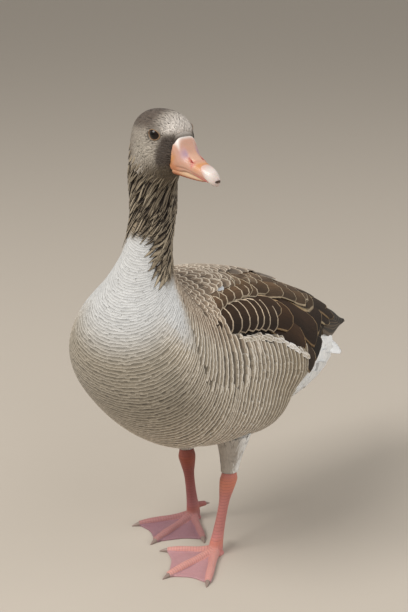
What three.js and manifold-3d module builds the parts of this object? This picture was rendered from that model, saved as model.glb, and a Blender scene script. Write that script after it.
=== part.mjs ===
// A greylag-type domestic goose, standing with its head turned to its left, as a still life-size model.
// Frame: millimetres, +Z up, the goose faces -Y, its left side is +X, and it stands on z = 0.
// "F" below is a distance forward of the point midway between the ankles, so y = -F.
import * as THREE from "three";
import { ParametricGeometry } from "three/addons/geometries/ParametricGeometry.js";
import { mergeVertices } from "three/addons/utils/BufferGeometryUtils.js";
import Module from "manifold-3d";

const wasm = await Module();
wasm.setup();

// ---------------------------------------------------------------- driving dimensions
const GAP = 0.3; // clearance left between neighbouring pieces
const SIDES = [["left", 1], ["right", -1]];
const HEAD_TURN = 78; // degrees to the goose's left
const NECK_AXIS_F = 89; // the upright line that the neck twists about
const EYE = { F: 120, z: 498.5, x: 18.8, radius: 7.2 };
const TAIL = {
  rootF: -206, tipF: -272, rootZ: 190, tipZ: 168, rootHalf: 23, tipHalf: 25,
  crown: 12, thick: 7, thin: 2, rounding: 16, steps: 6,
};
const WING_PARTING = 0.8; // the folded wings stay this far from the middle of the back
const STANCE = 36.5; // half the distance between the ankles, across the body
const ANKLE_HEIGHT = 10;
const FOOT_TOP = 13; // where the foot ends and the shank starts
const LEGS = {
  left: { ankleF: 26.4, hockF: -24, hockRise: 74, toeIn: 8, thighF: -4 },
  right: { ankleF: -26.4, hockF: 12, hockRise: 77, toeIn: 1, thighF: 0 },
};
const THIGH = { out: 4, rise: 58, bare: 0.2 };
const TOES = {
  inner: { length: 56, spread: -48, half: 5, high: 9 },
  middle: { length: 75, spread: 0, half: 5.6, high: 10 },
  outer: { length: 68, spread: 37, half: 5.2, high: 9.5 },
}; // lengths from the ankle to the root of the claw, spreads in degrees from the middle toe
const WEB = { thick: 1.8, root: 9.5, hollow: 0.07 }; // root: the pad's radius behind the ankle
const CLAW = { length: 9, half: 2.9, high: 5 };
const HIND_TOE = { root: 4, length: 17, out: -157, lift: 13.3, half: 4, high: 6.5, claw: 6 };
const FOOTPRINT = { x: -2.8, y: -72.35 }; // brings the middle of the model's box to x = y = 0

// ---------------------------------------------------------------- small helpers
const radians = (degrees) => (degrees * Math.PI) / 180;
const mix = (a, b, s) => a + (b - a) * s;
const clamp01 = (s) => Math.min(1, Math.max(0, s));
const smooth = (s) => clamp01(s) ** 2 * (3 - 2 * clamp01(s));

// Uniform Catmull-Rom value of rows of numbers at a fractional row number.
function spline(rows, at) {
  const last = rows.length - 1;
  const i = Math.min(Math.max(Math.floor(at), 0), last - 1);
  const s = at - i;
  const [a, b, c, d] = [i - 1, i, i + 1, i + 2].map(
    (k) => rows[Math.min(Math.max(k, 0), last)],
  );
  return b.map((_, k) => {
    const slope = c[k] - a[k];
    const bend = 2 * a[k] - 5 * b[k] + 4 * c[k] - d[k];
    const twist = 3 * (b[k] - c[k]) + d[k] - a[k];
    return b[k] + 0.5 * s * (slope + s * (bend + s * twist));
  });
}

// ---------------------------------------------------------------- body, neck and head
// One tube from the tail root to the bill. Each row is a flat section across the body:
// upper point (F, z), lower point (F, z), half width, how much wider the lower part is, squareness.
const BODY = [
  [-264, 178, -262, 167, 9, 0.0, 1.0],
  [-236, 208, -231, 150, 25, 0.0, 1.0],
  [-190, 246, -180, 132, 38, -0.05, 1.0],
  [-131, 275, -121, 122, 52, 0.0, 0.95],
  [-69, 301, -72, 114, 73, 0.08, 0.94],
  [-5, 322, -13, 125, 88, 0.1, 0.92],
  [46, 332, 51, 138, 93, 0.07, 0.92],
  [69, 337, 109, 167, 92, 0.09, 0.95],
  [79, 344, 153, 216, 85, 0.18, 0.98],
  [80, 353, 167, 265, 67, 0.2, 1.0],
  [79, 369, 154, 311, 42, 0.15, 1.0],
  [78, 390, 135, 352, 27.5, 0.06, 1.0],
  [75, 413, 124, 388, 23.5, 0.02, 1.0],
  [70, 433, 117, 416, 24, -0.02, 1.0],
  [67, 455, 115, 438, 25, -0.03, 1.0],
  [66, 477, 120, 451, 24.5, 0.07, 1.0],
  [70, 503, 128, 457, 24.5, 0.09, 0.95],
  [90, 518, 131, 460, 26, 0.03, 0.95],
  [120, 520, 132.5, 463, 23, -0.02, 0.95],
  [136, 512, 134.5, 466, 17.5, -0.05, 0.9],
  [142, 500, 136.5, 470, 14.5, -0.05, 0.65],
];
const BODY_LAST = BODY.length - 1;
const SECTION = { rump: 3, trunk: 9.2, neckLower: 11.4, neckMiddle: 13, neckUpper: 14.6 };

// How far the neck has turned at a row of BODY: nothing at the breast, all of it at the head.
const turnAt = (row) => radians(HEAD_TURN) * smooth((row - 9.5) / 5.5);

// A point forward/up/left of the goose, turned about the neck's upright axis.
function turned(F, z, x, angle) {
  const ahead = F - NECK_AXIS_F;
  return new THREE.Vector3(
    x * Math.cos(angle) + ahead * Math.sin(angle),
    -(NECK_AXIS_F + ahead * Math.cos(angle) - x * Math.sin(angle)),
    z,
  );
}

// The body's surface at a row and an angle round it, grown by some mm. The angle is 0 at the
// back and grows to the left.
function bodyPoint(row, angle, grow = 0) {
  const [upF, upZ, lowF, lowZ, half, lowWide, square] = spline(BODY, row);
  const height = Math.hypot(upF - lowF, upZ - lowZ) / 2;
  const stretch = (height + grow) / height;
  const up = Math.cos(angle) * stretch;
  const side = Math.sin(angle);
  const x = (half + grow) * Math.sign(side) * Math.abs(side) ** square * (1 - lowWide * Math.cos(angle));
  return turned(
    (upF + lowF) / 2 + ((upF - lowF) / 2) * up,
    (upZ + lowZ) / 2 + ((upZ - lowZ) / 2) * up,
    x,
    turnAt(row),
  );
}

// The direction along the body at a row, square to its section.
function bodyNormal(row) {
  const centre = bodyPoint(row, 0).add(bodyPoint(row, Math.PI)).multiplyScalar(0.5);
  const up = bodyPoint(row, 0).sub(centre);
  const side = bodyPoint(row, Math.PI / 2).sub(centre);
  return side.cross(up).normalize();
}

// A closed solid between two rows of the body, its flat ends drawn in by half the gap.
function bodyLength(from, to, { around = 24, steps, grow = 0, ends = GAP / 2 }) {
  const place = (u, v, target) => {
    const k = Math.round(u * (steps + 2));
    const row = mix(from, to, clamp01((k - 1) / steps));
    const draw = (k <= 1 ? 1 : 0) * ends - (k >= steps + 1 ? 1 : 0) * ends;
    const centre = bodyPoint(row, 0).add(bodyPoint(row, Math.PI)).multiplyScalar(0.5);
    if (k === 0 || k === steps + 2) target.copy(centre);
    else target.copy(bodyPoint(row, 2 * Math.PI * v, grow));
    target.addScaledVector(bodyNormal(row), draw);
  };
  return new ParametricGeometry(place, steps + 2, around);
}

// ---------------------------------------------------------------- solids and cuts
// A closed geometry as a manifold solid, its faces turned outwards if they all point in.
function solid(geometry) {
  const bare = geometry.clone();
  bare.deleteAttribute("normal");
  bare.deleteAttribute("uv");
  const merged = mergeVertices(bare, 1e-3);
  const [points, triangles] = [merged.attributes.position, merged.index.array];
  const corner = (i) => new THREE.Vector3().fromBufferAttribute(points, triangles[i]);
  let volume = 0;
  for (let i = 0; i < triangles.length; i += 3) {
    volume += corner(i).dot(corner(i + 1).cross(corner(i + 2)));
  }
  if (volume < 0) triangles.reverse();
  return new wasm.Manifold(
    new wasm.Mesh({
      numProp: 3,
      vertProperties: points.array,
      triVerts: new Uint32Array(triangles),
    }),
  );
}

// The largest body of a manifold, as a geometry.
function geometryOf(manifold) {
  const largest = manifold.decompose().sort((a, b) => b.volume() - a.volume())[0];
  const mesh = largest.getMesh();
  return new THREE.BufferGeometry()
    .setAttribute("position", new THREE.BufferAttribute(new Float32Array(mesh.vertProperties), 3))
    .setIndex(new THREE.BufferAttribute(mesh.triVerts, 1));
}

const goose = new THREE.Group();
function piece(name, shape, material) {
  const geometry = shape.isBufferGeometry ? shape : geometryOf(shape);
  const mesh = new THREE.Mesh(geometry, material);
  mesh.name = name;
  goose.add(mesh);
  return mesh;
}
const finish = (color, roughness) => new THREE.MeshStandardMaterial({ color, roughness, metalness: 0 });
const PLUMAGE = finish("#9c9185", 0.9);
const WHITE_PLUMAGE = finish("#e9e6e0", 0.9);
const WING_BROWN = finish("#5b4636", 0.8);
const FLIGHT_BLACK = finish("#2b2522", 0.7);
const HORN = finish("#efe6dc", 0.35);
const BILL_SKIN = finish("#e9a893", 0.4);
const LEG_SKIN = finish("#dd8d86", 0.5);
const EYE_BROWN = finish("#2a1a12", 0.05);

// ---------------------------------------------------------------- body
const LENGTHS = [
  { name: "rump", from: 0, to: SECTION.rump, steps: 6, material: WHITE_PLUMAGE },
  { name: "trunk", from: SECTION.rump, to: SECTION.trunk, steps: 15, around: 28, material: PLUMAGE },
  { name: "neck_lower", from: SECTION.trunk, to: SECTION.neckLower, steps: 6, material: PLUMAGE },
  { name: "neck_middle", from: SECTION.neckLower, to: SECTION.neckMiddle, steps: 5, material: PLUMAGE },
  { name: "neck_upper", from: SECTION.neckMiddle, to: SECTION.neckUpper, steps: 5, material: PLUMAGE },
];
const grownLengths = [];
for (const { name, from, to, material, ...mesh } of LENGTHS) {
  piece(name, bodyLength(from, to, mesh), material);
  grownLengths.push(solid(bodyLength(from, to, { ...mesh, grow: GAP, ends: -GAP })));
}
const bodyBlock = grownLengths.reduce((block, length) => block.add(length));

// ---------------------------------------------------------------- head, bill and eyes
const headAngle = radians(HEAD_TURN);

// A closed tube along rows like those of BODY, all turned with the head.
function headTube(rows, { around = 16, steps, grow = 0 }) {
  const place = (u, v, target) => {
    const k = Math.round(u * (steps + 2));
    const inside = k === 0 || k === steps + 2 ? 0 : 1;
    const row = clamp01((k - 1) / steps) * (rows.length - 1);
    const [upF, upZ, lowF, lowZ, half, lowWide, square] = spline(rows, row);
    const height = Math.hypot(upF - lowF, upZ - lowZ) / 2;
    const up = inside * Math.cos(2 * Math.PI * v) * (1 + grow / height);
    const side = inside * Math.sin(2 * Math.PI * v);
    const x = (half + grow) * Math.sign(side) * Math.abs(side) ** square * (1 - lowWide * up);
    const F = (upF + lowF) / 2 + ((upF - lowF) / 2) * up;
    target.copy(turned(F, (upZ + lowZ) / 2 + ((upZ - lowZ) / 2) * up, x, headAngle));
  };
  return solid(new ParametricGeometry(place, steps + 2, around));
}

// The bill's rows, in the same terms as BODY's. The upper half ends in the nail.
const BILL_UPPER = [
  [132, 493, 127, 467, 13, 0.0, 0.6],
  [142, 497.5, 134, 461.5, 14.3, -0.03, 0.45],
  [149, 489, 145, 463, 13.3, 0.03, 0.5],
  [156, 481, 155, 465, 11.8, 0.08, 0.55],
  [165.5, 476, 165, 463.5, 10.5, 0.1, 0.6],
  [174, 473.5, 175, 460, 8.8, 0.05, 0.7],
  [181.5, 471, 184, 457, 6.8, 0.0, 0.8],
  [189, 466, 189.5, 456.5, 4, 0.0, 0.9],
];
const BILL_LOWER = [
  [139, 472, 134, 459, 11.5, 0.15, 0.9],
  [151, 470, 147, 458, 10, 0.15, 0.9],
  [163, 467, 160, 457.5, 8.5, 0.15, 0.9],
  [173, 464, 171, 457.5, 6.5, 0.15, 0.9],
  [180, 462, 179.5, 458.5, 4.5, 0.1, 0.9],
];
const NAIL = { F: 168, z: 475, ahead: 0.783, up: 0.622 }; // a point and the normal of its root's plane
const nailNormal = turned(NECK_AXIS_F + NAIL.ahead, NAIL.up, 0, headAngle);
nailNormal.y += NECK_AXIS_F;
const nailOffset = turned(NAIL.F, NAIL.z, 0, headAngle).dot(nailNormal);
const headGrown = solid(bodyLength(SECTION.neckUpper, BODY_LAST, { steps: 12, grow: GAP, ends: -GAP }));
const upperGrown = headTube(BILL_UPPER, { steps: 14, grow: GAP });
const upperBill = headTube(BILL_UPPER, { steps: 14 });
const lowerBill = headTube(BILL_LOWER, { steps: 6, around: 12 });
const [ahead, behind] = [nailNormal.toArray(), nailNormal.clone().negate().toArray()];
const nail = upperBill.trimByPlane(ahead, nailOffset + GAP / 2);
const foreBill = upperBill.trimByPlane(behind, GAP / 2 - nailOffset);
piece("bill_upper", foreBill.subtract(headGrown), BILL_SKIN);
piece("bill_nail", nail, HORN);
piece("bill_lower", lowerBill.subtract(upperGrown).subtract(headGrown), BILL_SKIN);

let head = solid(bodyLength(SECTION.neckUpper, BODY_LAST, { steps: 12 }));
for (const [label, side] of SIDES) {
  const place = turned(EYE.F, EYE.z, side * EYE.x, headAngle);
  const socket = new THREE.SphereGeometry(EYE.radius + GAP, 16, 10);
  head = head.subtract(solid(socket.translate(place.x, place.y, place.z)));
  piece("eye_" + label, new THREE.SphereGeometry(EYE.radius, 16, 10), EYE_BROWN).position.copy(place);
}
piece("head", head, PLUMAGE);

// ---------------------------------------------------------------- tail
// A closed plate that widens backwards, is crowned across, and has a rounded free edge.
function tailPoint(u, v, target) {
  const k = Math.round(u * (TAIL.steps + 2));
  const along = clamp01((k - 1) / TAIL.steps);
  const inside = k === 0 || k === TAIL.steps + 2 ? 0 : 1;
  const across = Math.sin(2 * Math.PI * v) * inside;
  const level = Math.cos(2 * Math.PI * v) * inside;
  const half = mix(TAIL.rootHalf, TAIL.tipHalf, smooth(along));
  const rounding = TAIL.rounding * across ** 2 * along ** 4;
  const droop = TAIL.crown * across ** 2;
  const thickness = mix(TAIL.thick, TAIL.thin, along);
  target.set(
    half * across,
    -(mix(TAIL.rootF, TAIL.tipF, along) + rounding),
    mix(TAIL.rootZ, TAIL.tipZ, along) - droop + (thickness / 2) * level,
  );
}
const tail = solid(new ParametricGeometry(tailPoint, TAIL.steps + 2, 16)).subtract(bodyBlock);
piece("tail", tail, WHITE_PLUMAGE);

// ---------------------------------------------------------------- wings
// The folded wings are a cloak over the back. Rows are sections: upper point (F, z), lower
// point (F, z), half width, squareness, then the angles from the top of the back, in degrees,
// of the wing's upper and lower edge, and how deep the feathers lie.
const CLOAK = [
  [84, 335, 122, 150, 90, 0.97, 40, 60, 8],
  [44, 335, 62, 120, 98, 0.95, 18, 64, 10],
  [-8, 328, -5, 104, 96, 0.93, 9, 70, 12],
  [-72, 309, -70, 106, 84, 0.93, 5, 80, 13],
  [-132, 283, -128, 120, 66, 0.95, 3, 92, 14],
  [-188, 257, -180, 136, 47, 1.0, 2, 72, 14],
  [-232, 232, -228, 158, 29, 1.0, 2, 82, 12],
  [-266, 212, -262, 172, 17, 1.0, 3, 92, 9],
  [-290, 195, -287, 181, 9, 1.0, 8, 90, 4],
  [-311, 186, -310, 179, 5, 1.0, 10, 90, 2],
];
const TERTIALS = { from: 4, to: 7.2, share: 0.45, depth: 4.5 }; // they lie over the primaries
const CLOAK_STEP = { row: 0.003, share: 0.003 }; // half the gap between two parts of a wing

// One part of a wing: the cloak between two rows and two shares of the way down, as a closed
// shell from `sink` mm below the surface to `depth` mm further, thinning to an edge above and below.
function wingPart(side, { rows: [from, to], shares: [high, low], sink = () => 0, depth }) {
  const [steps, across] = [9, 5];
  const place = (u, v, target) => {
    const k = Math.round(u * (steps + 2));
    const j = Math.round(v * 2 * across);
    const row = mix(from + CLOAK_STEP.row, to - CLOAK_STEP.row, clamp01((k - 1) / steps));
    const [upF, upZ, lowF, lowZ, half, square, topAngle, lowAngle, full] = spline(CLOAK, row);
    const closing = k === 0 || k === steps + 2;
    const share = closing ? 0.5 : j <= across ? j / across : 2 - j / across;
    const inner = j > across && j < 2 * across ? depth ?? full : 0;
    const below = sink(row) + (closing ? (depth ?? full) / 2 : inner);
    const down = mix(high + CLOAK_STEP.share, low - CLOAK_STEP.share, share);
    const angle = radians(mix(topAngle, lowAngle, down));
    const up = Math.cos(angle) * (1 - below / (Math.hypot(upF - lowF, upZ - lowZ) / 2));
    target.set(
      side * Math.max((half - below) * Math.sin(angle) ** square, WING_PARTING),
      -((upF + lowF) / 2 + ((upF - lowF) / 2) * up),
      (upZ + lowZ) / 2 + ((upZ - lowZ) / 2) * up,
    );
  };
  return solid(new ParametricGeometry(place, steps + 2, 2 * across));
}
const WING_TO = 4.6;
const SINK = { until: 7.55, over: 0.8 }; // rows where the primaries rise from under the tertials
const underTertials = (row) => (TERTIALS.depth + GAP) * (1 - smooth((row - SINK.until) / SINK.over));
for (const [label, side] of SIDES) {
  const { from, to, share, depth } = TERTIALS;
  const parts = {
    scapulars: wingPart(side, { rows: [0, from], shares: [0, share] }),
    wing: wingPart(side, { rows: [0, WING_TO], shares: [share, 1] }),
    tertials: wingPart(side, { rows: [from, to], shares: [0, share], depth }),
    primaries: wingPart(side, {
      rows: [WING_TO, CLOAK.length - 1],
      shares: [0, 1],
      sink: underTertials,
    }),
  };
  for (const [name, part] of Object.entries(parts)) {
    const material = name === "primaries" ? FLIGHT_BLACK : WING_BROWN;
    piece(name + "_" + label, part.subtract(bodyBlock).subtract(tail), material);
  }
}

// ---------------------------------------------------------------- legs and feet
// A closed limb along rows of centre x, forward F, height z, half width and half depth.
function limb(rows, { steps, around = 12 }) {
  const place = (u, v, target) => {
    const k = Math.round(u * (steps + 2));
    const inside = k === 0 || k === steps + 2 ? 0 : 1;
    const [x, F, z, half, deep] = spline(rows, clamp01((k - 1) / steps) * (rows.length - 1));
    const angle = 2 * Math.PI * v;
    target.set(x + inside * half * Math.cos(angle), -(F + inside * deep * Math.sin(angle)), z);
  };
  return solid(new ParametricGeometry(place, steps + 2, around));
}

// A flat-soled toe that lies forwards from the origin, from one distance to another.
// half(s) and high(s) are its half width and height at a share s of its length.
function toeTube(from, to, { half, high, lift = 0, steps = 10 }) {
  const place = (u, v, target) => {
    const k = Math.round(u * (steps + 2));
    const inside = k === 0 || k === steps + 2 ? 0 : 1;
    const s = clamp01((k - 1) / steps);
    const angle = 2 * Math.PI * v;
    const rise = Math.max(0, 0.3 + 0.7 * inside * Math.sin(angle));
    target.set(inside * half(s) * Math.cos(angle), -mix(from, to, s), lift + high(s) * rise);
  };
  return new ParametricGeometry(place, steps + 2, 8);
}

// How far the web's edge is from the ankle, in a direction in degrees from the middle toe.
function webReach(direction) {
  const { inner, middle, outer } = TOES;
  if (direction > 180) return WEB.root;
  const edge = direction < inner.spread ? inner : direction > outer.spread ? outer : null;
  if (edge) return mix(edge.length, WEB.root, smooth(Math.abs(direction - edge.spread) / 8));
  const [a, b] = direction < middle.spread ? [inner, middle] : [middle, outer];
  const share = (direction - a.spread) / (b.spread - a.spread);
  const beyond = radians(direction - a.spread);
  const before = radians(b.spread - direction);
  const chord =
    (a.length * b.length * Math.sin(beyond + before)) /
    (a.length * Math.sin(beyond) + b.length * Math.sin(before));
  return chord * (1 - WEB.hollow * Math.sin(Math.PI * share) ** 1.5);
}

// The web: a flat plate around the ankle, thicker near it, its outline given by webReach.
function webPlate() {
  const rings = [0, 0.5, 1, 1, 0.5, 0]; // shares of the way out: over the top, then back underneath
  const around = 24;
  const [first, last] = [TOES.inner.spread - 8, TOES.outer.spread + 8];
  const behind = 0.25; // the share of the outline that runs round behind the ankle
  const place = (u, v, target) => {
    const k = Math.round(u * (rings.length - 1));
    const direction = v < 1 - behind
      ? mix(first, last, v / (1 - behind))
      : mix(last, first + 360, (v - 1 + behind) / behind);
    const reach = webReach(direction) * rings[k];
    const z = k < rings.length / 2 ? WEB.thick + (FOOT_TOP - 5) * (1 - rings[k]) ** 3 : 0;
    target.set(reach * Math.sin(radians(direction)), -reach * Math.cos(radians(direction)), z);
  };
  return new ParametricGeometry(place, rings.length - 1, around);
}

// Turns a foot's geometry about the ankle (degrees outwards) and sets it down at the ankle.
function planted(geometry, side, degreesOut, ankle) {
  if (side < 0) geometry.scale(-1, 1, 1);
  return solid(geometry.rotateZ(side * radians(degreesOut)).translate(ankle.x, -ankle.F, 0));
}

for (const [label, side] of SIDES) {
  const leg = LEGS[label];
  const ankle = { x: side * STANCE, F: leg.ankleF };
  const hock = { F: ankle.F + leg.hockF, z: ANKLE_HEIGHT + leg.hockRise };
  const shank = (t, half, deep) => [
    ankle.x, mix(ankle.F, hock.F, t), mix(ANKLE_HEIGHT, hock.z, t), half, deep,
  ];
  const thigh = (t, half, deep) => [
    ankle.x + side * THIGH.out * t, hock.F + leg.thighF * t, hock.z + THIGH.rise * t, half, deep,
  ];
  const footShare = (FOOT_TOP + GAP - ANKLE_HEIGHT) / leg.hockRise;
  const gapShare = GAP / THIGH.rise;
  const bare = [
    shank(footShare, 7.4, 9), shank(0.22, 6, 7.6), shank(0.45, 5.3, 6.8), shank(0.68, 5.6, 7.2),
    shank(0.86, 8, 9.4), shank(1, 9.4, 11.4), thigh(0.1, 8.6, 10), thigh(THIGH.bare, 7.6, 8.8),
  ];
  const feathered = [
    thigh(THIGH.bare + gapShare, 8.8, 10), thigh(0.36, 10, 11.5), thigh(0.55, 12, 14),
    thigh(0.8, 16, 19), thigh(1.05, 21, 25),
  ];
  piece("tarsus_" + label, limb(bare, { steps: 12, around: 10 }), LEG_SKIN);
  piece("thigh_" + label, limb(feathered, { steps: 5, around: 14 }).subtract(bodyBlock), WHITE_PLUMAGE);

  const ankleStub = limb(
    [[ankle.x, ankle.F, 1, 7, 8], [ankle.x, ankle.F, 7, 7.8, 9.4], [ankle.x, ankle.F, FOOT_TOP, 7.4, 9]],
    { steps: 4 },
  );
  let foot = ankleStub.add(planted(webPlate(), side, -leg.toeIn, ankle));
  for (const [name, toe] of Object.entries(TOES)) {
    const out = toe.spread - leg.toeIn;
    const knuckles = (s) => 1 + 0.1 * Math.cos(2.5 * Math.PI * s);
    const tube = toeTube(-4, toe.length, {
      half: (s) => toe.half * mix(1.1, 0.72, s) * knuckles(s),
      high: (s) => toe.high * mix(1.15, 0.6, s) * knuckles(s),
      steps: 5,
    });
    foot = foot.add(planted(tube, side, out, ankle));
    const claw = toeTube(toe.length + GAP, toe.length + CLAW.length, {
      half: (s) => CLAW.half * (1 - 0.85 * s ** 1.5),
      high: (s) => CLAW.high * (1 - 0.8 * s ** 1.5),
      steps: 3,
    });
    piece("claw_" + name + "_" + label, planted(claw, side, out, ankle), HORN);
  }
  piece("foot_" + label, foot, LEG_SKIN);

  const shankGrown = limb(
    bare.map(([x, F, z, half, deep]) => [x, F, z, half + GAP, deep + GAP]),
    { steps: 12, around: 10 },
  );
  const hindToe = toeTube(HIND_TOE.root, HIND_TOE.length, {
    half: (s) => HIND_TOE.half * mix(1.1, 0.75, s),
    high: (s) => HIND_TOE.high * mix(1.2, 0.8, s),
    lift: HIND_TOE.lift,
    steps: 4,
  });
  const hindClaw = toeTube(HIND_TOE.length + GAP, HIND_TOE.length + HIND_TOE.claw, {
    half: (s) => HIND_TOE.half * 0.55 * (1 - 0.85 * s ** 1.5),
    high: (s) => HIND_TOE.high * 0.6 * (1 - 0.8 * s ** 1.5),
    lift: HIND_TOE.lift,
    steps: 3,
  });
  piece("hind_toe_" + label, planted(hindToe, side, HIND_TOE.out, ankle).subtract(shankGrown), LEG_SKIN);
  piece("claw_hind_" + label, planted(hindClaw, side, HIND_TOE.out, ankle), HORN);
}

goose.position.set(FOOTPRINT.x, FOOTPRINT.y, 0);

export default goose;
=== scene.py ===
# %% [markdown]
# # A greylag-type domestic goose, life size
#
# A goose stands on both webbed feet, its body facing -Y and its head turned to its own left.
# The lesson builds it the way a bird is put together: a skin over the whole body, a coat of
# vanes laid on the skin in the tracts a real goose has, two folded wings, a tail, and then the
# bare parts, which are the bill, the eyes and the legs.
#
# Every length below is in millimetres in the goose's own frame (x to its left, F forwards,
# z up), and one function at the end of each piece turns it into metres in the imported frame.

import math

import bpy
import numpy as np
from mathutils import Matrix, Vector
from mathutils.kdtree import KDTree


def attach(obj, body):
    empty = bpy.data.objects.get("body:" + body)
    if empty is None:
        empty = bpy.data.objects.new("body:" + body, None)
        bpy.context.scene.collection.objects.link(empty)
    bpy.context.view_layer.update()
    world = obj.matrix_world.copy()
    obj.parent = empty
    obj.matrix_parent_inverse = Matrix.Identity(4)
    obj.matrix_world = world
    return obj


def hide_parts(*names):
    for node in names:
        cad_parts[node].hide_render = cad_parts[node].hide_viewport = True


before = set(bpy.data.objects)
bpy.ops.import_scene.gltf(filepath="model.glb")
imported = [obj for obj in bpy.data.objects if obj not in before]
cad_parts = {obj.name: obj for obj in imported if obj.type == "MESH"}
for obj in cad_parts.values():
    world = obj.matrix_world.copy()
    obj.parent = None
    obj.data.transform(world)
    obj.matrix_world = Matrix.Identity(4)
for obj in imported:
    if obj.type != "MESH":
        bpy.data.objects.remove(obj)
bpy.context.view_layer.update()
SEED = 38
rng = np.random.default_rng(SEED)
MM = 0.001  # metres in one
FOOTPRINT = np.array([-2.8, -72.35, 0.0])  # mm from the goose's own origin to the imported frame's
SIDES = {"left": 1, "right": -1}


def mix(a, b, s):
    """a at s = 0, b at s = 1."""
    return a + (b - a) * s


def smooth(low, high, x):
    """0 below low, 1 above high, and 3s^2 - 2s^3 between them."""
    s = np.clip((np.asarray(x, float) - low) / (high - low), 0, 1)
    return s * s * (3 - 2 * s)


def bump(x, middle, width):
    """exp(-((x - middle) / width)^2), a round bump of height 1."""
    return np.exp(-(((x - middle) / width) ** 2))


def table_at(table, x):
    """Straight-line value of a two-column table at x."""
    return np.interp(x, *np.transpose(table))


def spline(table, at):
    """Uniform Catmull-Rom value of a table's rows at fractional row numbers of any shape."""
    at = np.asarray(at, float)
    last = len(table) - 1
    i = np.clip(np.floor(at), 0, last - 1).astype(int)
    s = (at - i)[..., None]
    a, b, c, d = (table[np.clip(i + k, 0, last)] for k in (-1, 0, 1, 2))
    return b + 0.5 * s * (c - a + s * (2 * a - 5 * b + 4 * c - d + s * (3 * (b - c) + d - a)))


def unit(v):
    """Vectors of length 1."""
    return v / np.maximum(np.linalg.norm(v, axis=-1, keepdims=True), 1e-9)


def degrees_off_top(angle):
    """How many degrees an angle of the tube is from the middle of the back, 0 to 180."""
    return np.abs(np.degrees((np.asarray(angle) + np.pi) % (2 * np.pi) - np.pi))


def colour(code):
    """Linear red, green and blue of an sRGB hex code such as "e79c8c"."""
    c = np.array([int(code[i : i + 2], 16) / 255 for i in (0, 2, 4)])
    return np.where(c <= 0.04045, c / 12.92, ((c + 0.055) / 1.055) ** 2.4)


# %% [markdown]
# ## The surfaces
#
# The coat is laid on surfaces that can be asked for a point at any row, any place across and
# any height above. The body, neck and head are one tube through flat sections. Each section
# is named by its upper and lower point in the middle plane, its half width, how much wider its
# lower part is, and how square it is. A sculpted mesh could be used instead, but a formula
# gives the lie of every feather for free: it runs along the rows.

# %% Body, neck and head as one tube
BODY = np.array(
    [
        [-264, 178, -262, 167, 9, 0.0, 1.0],
        [-236, 208, -231, 150, 25, 0.0, 1.0],
        [-190, 246, -180, 132, 38, -0.05, 1.0],
        [-131, 275, -121, 122, 52, 0.0, 0.95],
        [-69, 301, -72, 114, 73, 0.08, 0.94],
        [-5, 322, -13, 125, 88, 0.1, 0.92],
        [46, 332, 51, 138, 93, 0.07, 0.92],
        [69, 337, 109, 167, 92, 0.09, 0.95],
        [79, 344, 153, 216, 85, 0.18, 0.98],
        [80, 353, 167, 265, 67, 0.2, 1.0],
        [79, 369, 154, 311, 42, 0.15, 1.0],
        [78, 390, 135, 352, 27.5, 0.06, 1.0],
        [75, 413, 124, 388, 23.5, 0.02, 1.0],
        [70, 433, 117, 416, 24, -0.02, 1.0],
        [67, 455, 115, 438, 25, -0.03, 1.0],
        [66, 477, 120, 451, 24.5, 0.07, 1.0],
        [70, 503, 128, 457, 24.5, 0.09, 0.95],
        [90, 518, 131, 460, 26, 0.03, 0.95],
        [120, 520, 132.5, 463, 23, -0.02, 0.95],
        [136, 512, 134.5, 466, 17.5, -0.05, 0.9],
        [142, 500, 136.5, 470, 14.5, -0.05, 0.65],
    ]
)
LAST = len(BODY) - 1
HEAD_TURN = math.radians(78)
TWIST_ROWS = (9.5, 15)  # the neck twists between these rows, and the head turns as one
FACE_ROWS = (15, 16.5)  # the face's relief fades in between these rows
NECK_AXIS = 89.0  # forward place of the upright line the neck twists about
EYE = {"F": 121.0, "z": 499.7, "x": 18.8, "radius": 7.2}


def turned(F, z, x, angle):
    """Points forward F, up z and left x, turned by an angle about the neck's upright axis."""
    ahead = F - NECK_AXIS
    across = x * np.cos(angle) + ahead * np.sin(angle)
    along = NECK_AXIS + ahead * np.cos(angle) - x * np.sin(angle)
    return np.stack(np.broadcast_arrays(across, -along, z), -1)


def tube(table, row, angle, height):
    """F, z, x of a tube through a table's sections; the angle is 0 on top, and grows to the left.

    Up the section goes cos(angle), and across it sin(angle) raised to the section's squareness.
    """
    up_f, up_z, low_f, low_z, half, low_wide, square = np.moveaxis(spline(table, row), -1, 0)
    reach = np.maximum(np.hypot(up_f - low_f, up_z - low_z) / 2, 0.5)
    up = np.cos(angle) * (1 + height / reach)
    side = np.sin(angle)
    x = (half + height) * np.sign(side) * np.abs(side) ** square * (1 - low_wide * np.cos(angle))
    F = (up_f + low_f) / 2 + (up_f - low_f) / 2 * up
    z = (up_z + low_z) / 2 + (up_z - low_z) / 2 * up
    return F, z, x


def head_relief(row, angle):
    """How many mm the face stands out or in: cheeks, brow, the hollow lores and the eye's bed."""
    F, z, x = tube(BODY, row, angle, 0.0)
    side = smooth(6, 16, np.abs(x))
    from_eye = np.hypot(F - EYE["F"], z - EYE["z"])
    cheek = 1.4 * bump(F, 104, 16) * bump(z, 476, 14)
    brow = 0.9 * bump(F, 118, 15) * bump(z, 508.5, 4.5)
    lores = -1.2 * bump(F, 133, 6) * bump(z, 488, 9)
    bed = -1.0 * bump(from_eye, 0, 10)
    return side * (cheek + brow + lores + bed)


def body_surface(row, angle, height=0.0):
    """The goose's outline without its coat's relief, at a height in mm above it."""
    row = np.clip(row, 0, LAST)
    height = height + head_relief(row, angle) * smooth(*FACE_ROWS, row)
    F, z, x = tube(BODY, row, angle, height)
    return turned(F, z, x, HEAD_TURN * smooth(*TWIST_ROWS, row))


crown = body_surface(np.linspace(15, LAST, 51), 0.0)[:, 2].max()
print(f"the crown is {crown:.0f} mm above the floor")


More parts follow.
